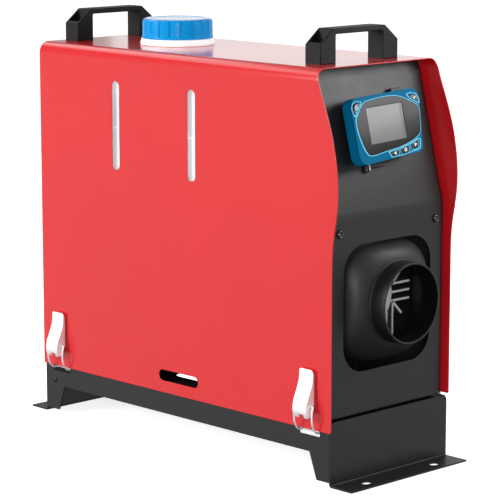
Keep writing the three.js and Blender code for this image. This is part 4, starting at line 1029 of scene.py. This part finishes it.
def latch(side, end):
    sx = -1 if side == "left" else 1
    y0 = LATCH_Y[0] if end == "front" else LATCH_Y[1]

    def L(u, w, z):
        """u out of the hood's side, w towards the front of the case, z up."""
        return mm(sx * (HALF_W + u), y0 - w, z)
    tag = side + "_" + end
    bm = bmesh.new()
    slab(bm, [rrect(14.4, 32.6, 1.5, 0, 86.7, 4)], 0.3, 1.3, lambda w, z, u: L(u, w, z), 0.2, 2)
    ear = fillet([(1, 71.2), (4.6, 65.1, 0.8), (5.7, 64.15, 0.6), (7.3, 64.2, 0.6), (8.4, 65.4, 0.6), (8.5, 67.1, 0.6), (7.6, 69.3, 0.8), (1, 79)], True, 4)
    for a, b in ((-6.8, -5.7), (5.7, 6.8)):
        slab(bm, [ear], a, b, lambda u, z, w: L(u, w, z), 0.15, 2)
    for z in (84, 96):
        lathe(bm, [(0, 1.1), (2.4, 1.1), (2.4, 1.3), (2.1, 1.8), (1.3, 2.1), (0, 2.15)], 24, lambda a, b, h, z=z: L(h, a, z + b))
    done("latch_plate_" + tag, bm, ZINC, CASE, ["latch_base_" + tag], sharp=40)

    # lever: curved front sheet with rounded top corners and a notch in its lower edge
    curve = spline(LEVER, 6)
    S = [0.0]
    for a, b in zip(curve, curve[1:]):
        S.append(S[-1] + (b - a).length)

    def lev(w, s, n):
        i = 0
        while i < len(S) - 2 and s > S[i + 1]:
            i += 1
        t = (s - S[i]) / (S[i + 1] - S[i])
        p = curve[i].lerp(curve[i + 1], t)
        ta = (curve[min(i + 1, len(curve) - 1)] - curve[i]).normalized()
        tb = (curve[min(i + 2, len(curve) - 1)] - curve[min(i + 1, len(curve) - 2)]).normalized()
        tg = ta.lerp(tb, t).normalized()
        return L(p.x - tg.y * n, w, p.y + tg.x * n)
    top = S[-1]
    o = fillet([(-8.6, 0, 0.5), (-1.7, 0, 0.4), (-1.7, 3.4, 0.5), (4.6, 3.4, 0.5), (4.6, 0, 0.4), (8.6, 0, 0.5), (8.6, top, 3.4), (-8.6, top, 2.2)], True, 5)
    bm = bmesh.new()
    slab(bm, [o], 0.0, 0.9, lev, 0.28, 2, [(1, s) for s in S[1:-1]])
    sd = fillet([(10.2, 62.9, 0.5), (8.0, 62.6, 1.2), (4.4, 65.0, 1.5), (3.4, 74, 3), (2.45, 90, 2), (3.05, 97.3, 0.2), (3.7, 94.4), (5.5, 89), (8.2, 82.6), (10.6, 76.4), (11.4, 71), (11.1, 66.8)], True, 4)
    for a, b in ((-8.5, -7.7), (7.7, 8.5)):
        slab(bm, [sd], a, b, lambda u, z, w: L(u, w, z), 0.15, 2)
    lathe(bm, [(0, -8.55), (1.1, -8.55), (1.25, -8.4), (1.25, 8.4), (1.1, 8.55), (0, 8.55)], 20, lambda a, b, h: L(P_PIN[0] + a, h, P_PIN[1] + b))
    done("latch_handle_" + tag, bm, ZINC, "lever_" + tag, ["latch_lever_" + tag], sharp=45)

    # bail: one bent wire
    Y = 11.2
    leg = [(A_PIN[0], A_PIN[1]), (6.9, 69), (7.3, 62), (6.3, 55.8), (3.9, 51), (1.2, 48.5), (-1.2, 47.9), (-4.2, 47.9)]
    pts = [(A_PIN[0], -7.2, A_PIN[1]), (A_PIN[0], -9.6, A_PIN[1]), (A_PIN[0], -Y + 0.3, A_PIN[1] - 0.3)]
    pts += [(u, -Y, z) for u, z in leg[1:]]
    pts += [(-5.3, -Y + 1.1, 47.9), (-5.3, 0, 47.9), (-5.3, Y - 1.1, 47.9)]
    pts += [(u, Y, z) for u, z in leg[1:][::-1]]
    pts += [(A_PIN[0], Y - 0.3, A_PIN[1] - 0.3), (A_PIN[0], 9.6, A_PIN[1]), (A_PIN[0], 7.2, A_PIN[1])]
    bm = bmesh.new()
    wire(bm, pts, 0.9, 14, 6, L)
    done("latch_wire_" + tag, bm, WIRE, "bail_" + tag, ["latch_bail_" + tag], sharp=60, weighted=False)


for sd in ("left", "right"):
    for en in ("front", "rear"):
        latch(sd, en)

# ------------------------------------------------------------------ carried-over nodes: soft edges
def soften(node, width, seg=2, angle=30, material=None, sharp=35):
    """A copy of a CAD node with its flat faces merged and its edges rounded."""
    src = NODES[node]
    bm = bmesh.new()
    bm.from_mesh(src.data)
    bmesh.ops.remove_doubles(bm, verts=bm.verts, dist=2e-6)
    bmesh.ops.dissolve_limit(bm, angle_limit=math.radians(1.0), verts=bm.verts, edges=bm.edges)
    bm.normal_update()
    body = src["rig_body"]
    slot = next(s["material_slot"] for s in frame["record"]["subparts"] if s["node"] == node)
    return done(node + "_fine", bm, material or SLOT_MAT[slot], body, [node], sharp=sharp, bevel=(width, seg, angle))


for nd, w in (("core_shell_upper", 0.5), ("core_shell_lower", 0.5), ("core_mount_front", 0.3), ("core_mount_rear", 0.3), ("tank_cradle", 0.3),
              ("control_unit", 1.0), ("core_inlet_guard", 0.5), ("blower_wheel", 0.3), ("pump_clamp", 0.6)):
    soften(nd, w, material=BLACK if nd.startswith("core_mount") else None)


def grille():
    """Moulded intake guard: two columns of slots that fill a circle."""
    holes = []
    for i in range(-4, 5):
        half = math.sqrt(54 * 54 - (i * 11) ** 2) - 2
        for k in (-1, 1):
            holes.append(rrect(half - 2, 6.8, 1.0, k * (half + 2) / 2, CORE_Z + i * 11, 3))
    bm = bmesh.new()
    slab(bm, [rrect(126, 126, 14, 0, CORE_Z, 10)] + holes, 196.5, 199.5, lambda a, b, h: mm(a, h, b), 0.5, 3)
    done("intake_grille", bm, PLASTIC, CASE, ["rear_grille"], sharp=50)


grille()


def turned_node(name, node, prof, seg, axis, c, material, closed=False):
    """A turned piece that stands for a node: axis y or z through c."""
    bm = bmesh.new()
    if axis == "y":
        lathe(bm, prof, seg, lambda a, b, h: mm(c[0] + a, h, c[1] + b), closed=closed)
    else:
        lathe(bm, prof, seg, lambda a, b, h: mm(c[0] + a, c[1] + b, h), closed=closed)
    body = NODES[node]["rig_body"]
    return done(name, bm, material, body, [node], sharp=40)


turned_node("exhaust_pipe", "exhaust_stub", fillet([(10.5, 24, 0.3), (12, 24, 0.5), (12, 106.6), (10.5, 106.6)], True, 3), 48, "z", (16, 10), STEEL, True)
turned_node("intake_pipe", "intake_stub", fillet([(9, 34, 0.4), (11, 34, 0.8), (11, 112), (9, 112)], True, 3), 48, "z", (-14, 28.6), PLASTIC, True)
turned_node("pump_body", "fuel_pump", fillet([(0, -151), (2.4, -151, 0.5), (2.4, -142, 0.4), (8, -142, 0.8), (8, -136, 0.8), (14, -134, 1.2), (14, -78, 1.2), (8, -76, 0.8),
                                              (8, -66, 0.8), (2.4, -66, 0.4), (2.4, -56, 0.5), (0, -56)], False, 3), 48, "y", (-42, 79), STEEL)
turned_node("motor_body", "blower_motor", fillet([(0, 40.3), (36, 40.3, 0.5), (36, 44, 0.8), (23, 46, 1.2), (23, 88, 1.5), (12, 91, 0.8), (3.4, 91, 0.3), (3.4, 70), (0, 70)], False, 3),
            56, "y", (0, CORE_Z), STEEL)
turned_node("grommet", "cable_grommet", fillet([(3.2, 192, 0.8), (10, 192, 0.8), (10, 194.7, 0.6), (7, 194.7), (7, 196.5), (10, 196.5, 0.6), (10, 199, 0.9), (3.2, 199, 0.9)], True, 3),
            40, "y", (46, 84), RUBBER, True)
turned_node("cap_liner_disc", "cap_seal", fillet([(0, 396.3), (28.7, 396.3, 0.6), (28.7, 398.7, 0.6), (0, 398.7)], False, 3), 64, "z", (0, NECK_Y), RUBBER)

bm = bmesh.new()
wire(bm, [(-52, -96, 225.2), (-52.4, -96, 221.6), (-60, -100, 216.5), (-66.5, -108, 210), (-70, -124, 192), (-70.5, -142, 160), (-70, -150, 120), (-66, -160, 92),
          (-54, -168, 80), (-44.5, -163, 79), (-42, -152, 79)], 2.1, 14, 8)
done("hose_tank", bm, RUBBER, CASE, ["fuel_line_tank"], sharp=60, weighted=False)
bm = bmesh.new()
wire(bm, [(-42, -55, 79), (-42, -40, 79), (-42, -10, 78), (-41, 14, 80), (-40, 24, 92), (-40, 24, 108)], 2.1, 14, 8)
done("hose_burner", bm, RUBBER, CASE, ["fuel_line_burner"], sharp=60, weighted=False)

# ------------------------------------------------------------------ stage, light, camera
def plain(name, col, rough=0.6):
    m, nt, b = _mat(name)
    nt.links.new(_ramp(nt, _noise(nt, 3, 2), [(0.3, _shade(col, 0.995)), (0.7, col)]), b.inputs["Base Color"])
    b.inputs["Roughness"].default_value = rough
    b.inputs["Specular IOR Level"].default_value = 0.2
    return m


bm = bmesh.new()
slab(bm, [rrect(30000, 30000, 3000, 0, 0, 8)], -20, 0, mm, 0)
fm = bpy.data.meshes.new("floor")
bm.to_mesh(fm)
bm.free()
floor = bpy.data.objects.new("floor", fm)
bpy.context.scene.collection.objects.link(floor)
pale = plain("floor_pale", (0.93, 0.93, 0.935))
pb = next(n for n in pale.node_tree.nodes if n.type == "BSDF_PRINCIPLED")
pb.inputs["Emission Color"].default_value = (1, 1, 1, 1)
pb.inputs["Emission Strength"].default_value = 0.80
fm.materials.append(pale)
floor.visible_diffuse = floor.visible_glossy = False

# pale surroundings: dim above, a soft band round the horizon, dark underneath
world = bpy.data.worlds.new("studio")
bpy.context.scene.world = world
world.use_nodes = True
wt = world.node_tree
bg = wt.nodes["Background"]
bg.inputs[0].default_value = (1.0, 1.0, 1.0, 1)
tc = wt.nodes.new("ShaderNodeTexCoord")
sx = wt.nodes.new("ShaderNodeSeparateXYZ")
cv = wt.nodes.new("ShaderNodeFloatCurve")
c0 = cv.mapping.curves[0]
while len(c0.points) > 2:
    c0.points.remove(c0.points[-1])
for i, (z, v) in enumerate(((-1, 0.06), (-0.55, 0.10), (-0.3, 0.64), (-0.14, 0.94), (0.04, 0.58), (0.2, 0.42), (1, 0.34))):
    if i < 2:
        c0.points[i].location = ((z + 1) / 2, v)
    else:
        c0.points.new((z + 1) / 2, v)
cv.mapping.update()
half = wt.nodes.new("ShaderNodeMapRange")
half.inputs["From Min"].default_value = -1.0
wt.links.new(tc.outputs["Generated"], sx.inputs[0])
wt.links.new(sx.outputs["Z"], half.inputs["Value"])
wt.links.new(half.outputs[0], cv.inputs["Value"])
path = wt.nodes.new("ShaderNodeLightPath")       # the plain ground goes on above the floor's edge
plain_sky = wt.nodes.new("ShaderNodeMath")
plain_sky.operation = "MAXIMUM"
wt.links.new(cv.outputs[0], plain_sky.inputs[0])
wt.links.new(path.outputs["Is Camera Ray"], plain_sky.inputs[1])
wt.links.new(plain_sky.outputs[0], bg.inputs[1])


def softbox(name, pos, target, w, h, level, col=(1, 1, 1)):
    """An even rectangular lamp; level is its brightness against the surroundings."""
    d = bpy.data.lights.new(name, "AREA")
    d.shape, d.size, d.size_y, d.energy, d.color = "RECTANGLE", w, h, level * pi * w * h, col
    o = bpy.data.objects.new(name, d)
    bpy.context.scene.collection.objects.link(o)
    o.location = Vector(pos)
    o.rotation_mode = "QUATERNION"
    o.rotation_quaternion = (Vector(target) - Vector(pos)).to_track_quat("-Z", "Y")
    return o


softbox("key_rear_left", (-2.0, 0.9, 0.95), (0, 0, 0.2), 1.1, 1.1, 11)
softbox("near_camera", (-1.52, -1.75, 0.62), (0, -0.1, 0.2), 0.5, 0.5, 25)
softbox("panel_right", (0.24, -0.42, 0.47), (-0.02, -0.18, 0.33), 0.16, 0.16, 8.5)
softbox("front_right", (1.9, -1.25, 1.25), (0, -0.1, 0.2), 0.8, 0.8, 3)
softbox("backlight", (3.02, 1.18, 0.98), (0.97, -0.94, 0.38), 3.3, 0.9, 0.75)
softbox("top_rear", (-0.45, 1.6, 1.85), (0, 0, 0.35), 2.4, 0.5, 2.2)

AZ, EL, DIST = math.radians(-44.10), math.radians(10.14), 2.238
TARGET = Vector((0.0050, -0.010733, 0.18251))
back = Vector((sin(AZ) * cos(EL), -cos(AZ) * cos(EL), sin(EL)))
cd = bpy.data.cameras.new("camera")
cd.lens, cd.sensor_width, cd.sensor_fit = 166.61, 36.0, "AUTO"
cd.clip_start, cd.clip_end = 0.05, 60
cam = bpy.data.objects.new("camera", cd)
bpy.context.scene.collection.objects.link(cam)
cam.location = TARGET + back * DIST
cam.rotation_mode = "QUATERNION"
cam.rotation_quaternion = (-back).to_track_quat("-Z", "Y")
bpy.context.scene.camera = cam
bpy.context.scene.view_settings.view_transform = "Standard"
bpy.context.scene.view_settings.look = "None"
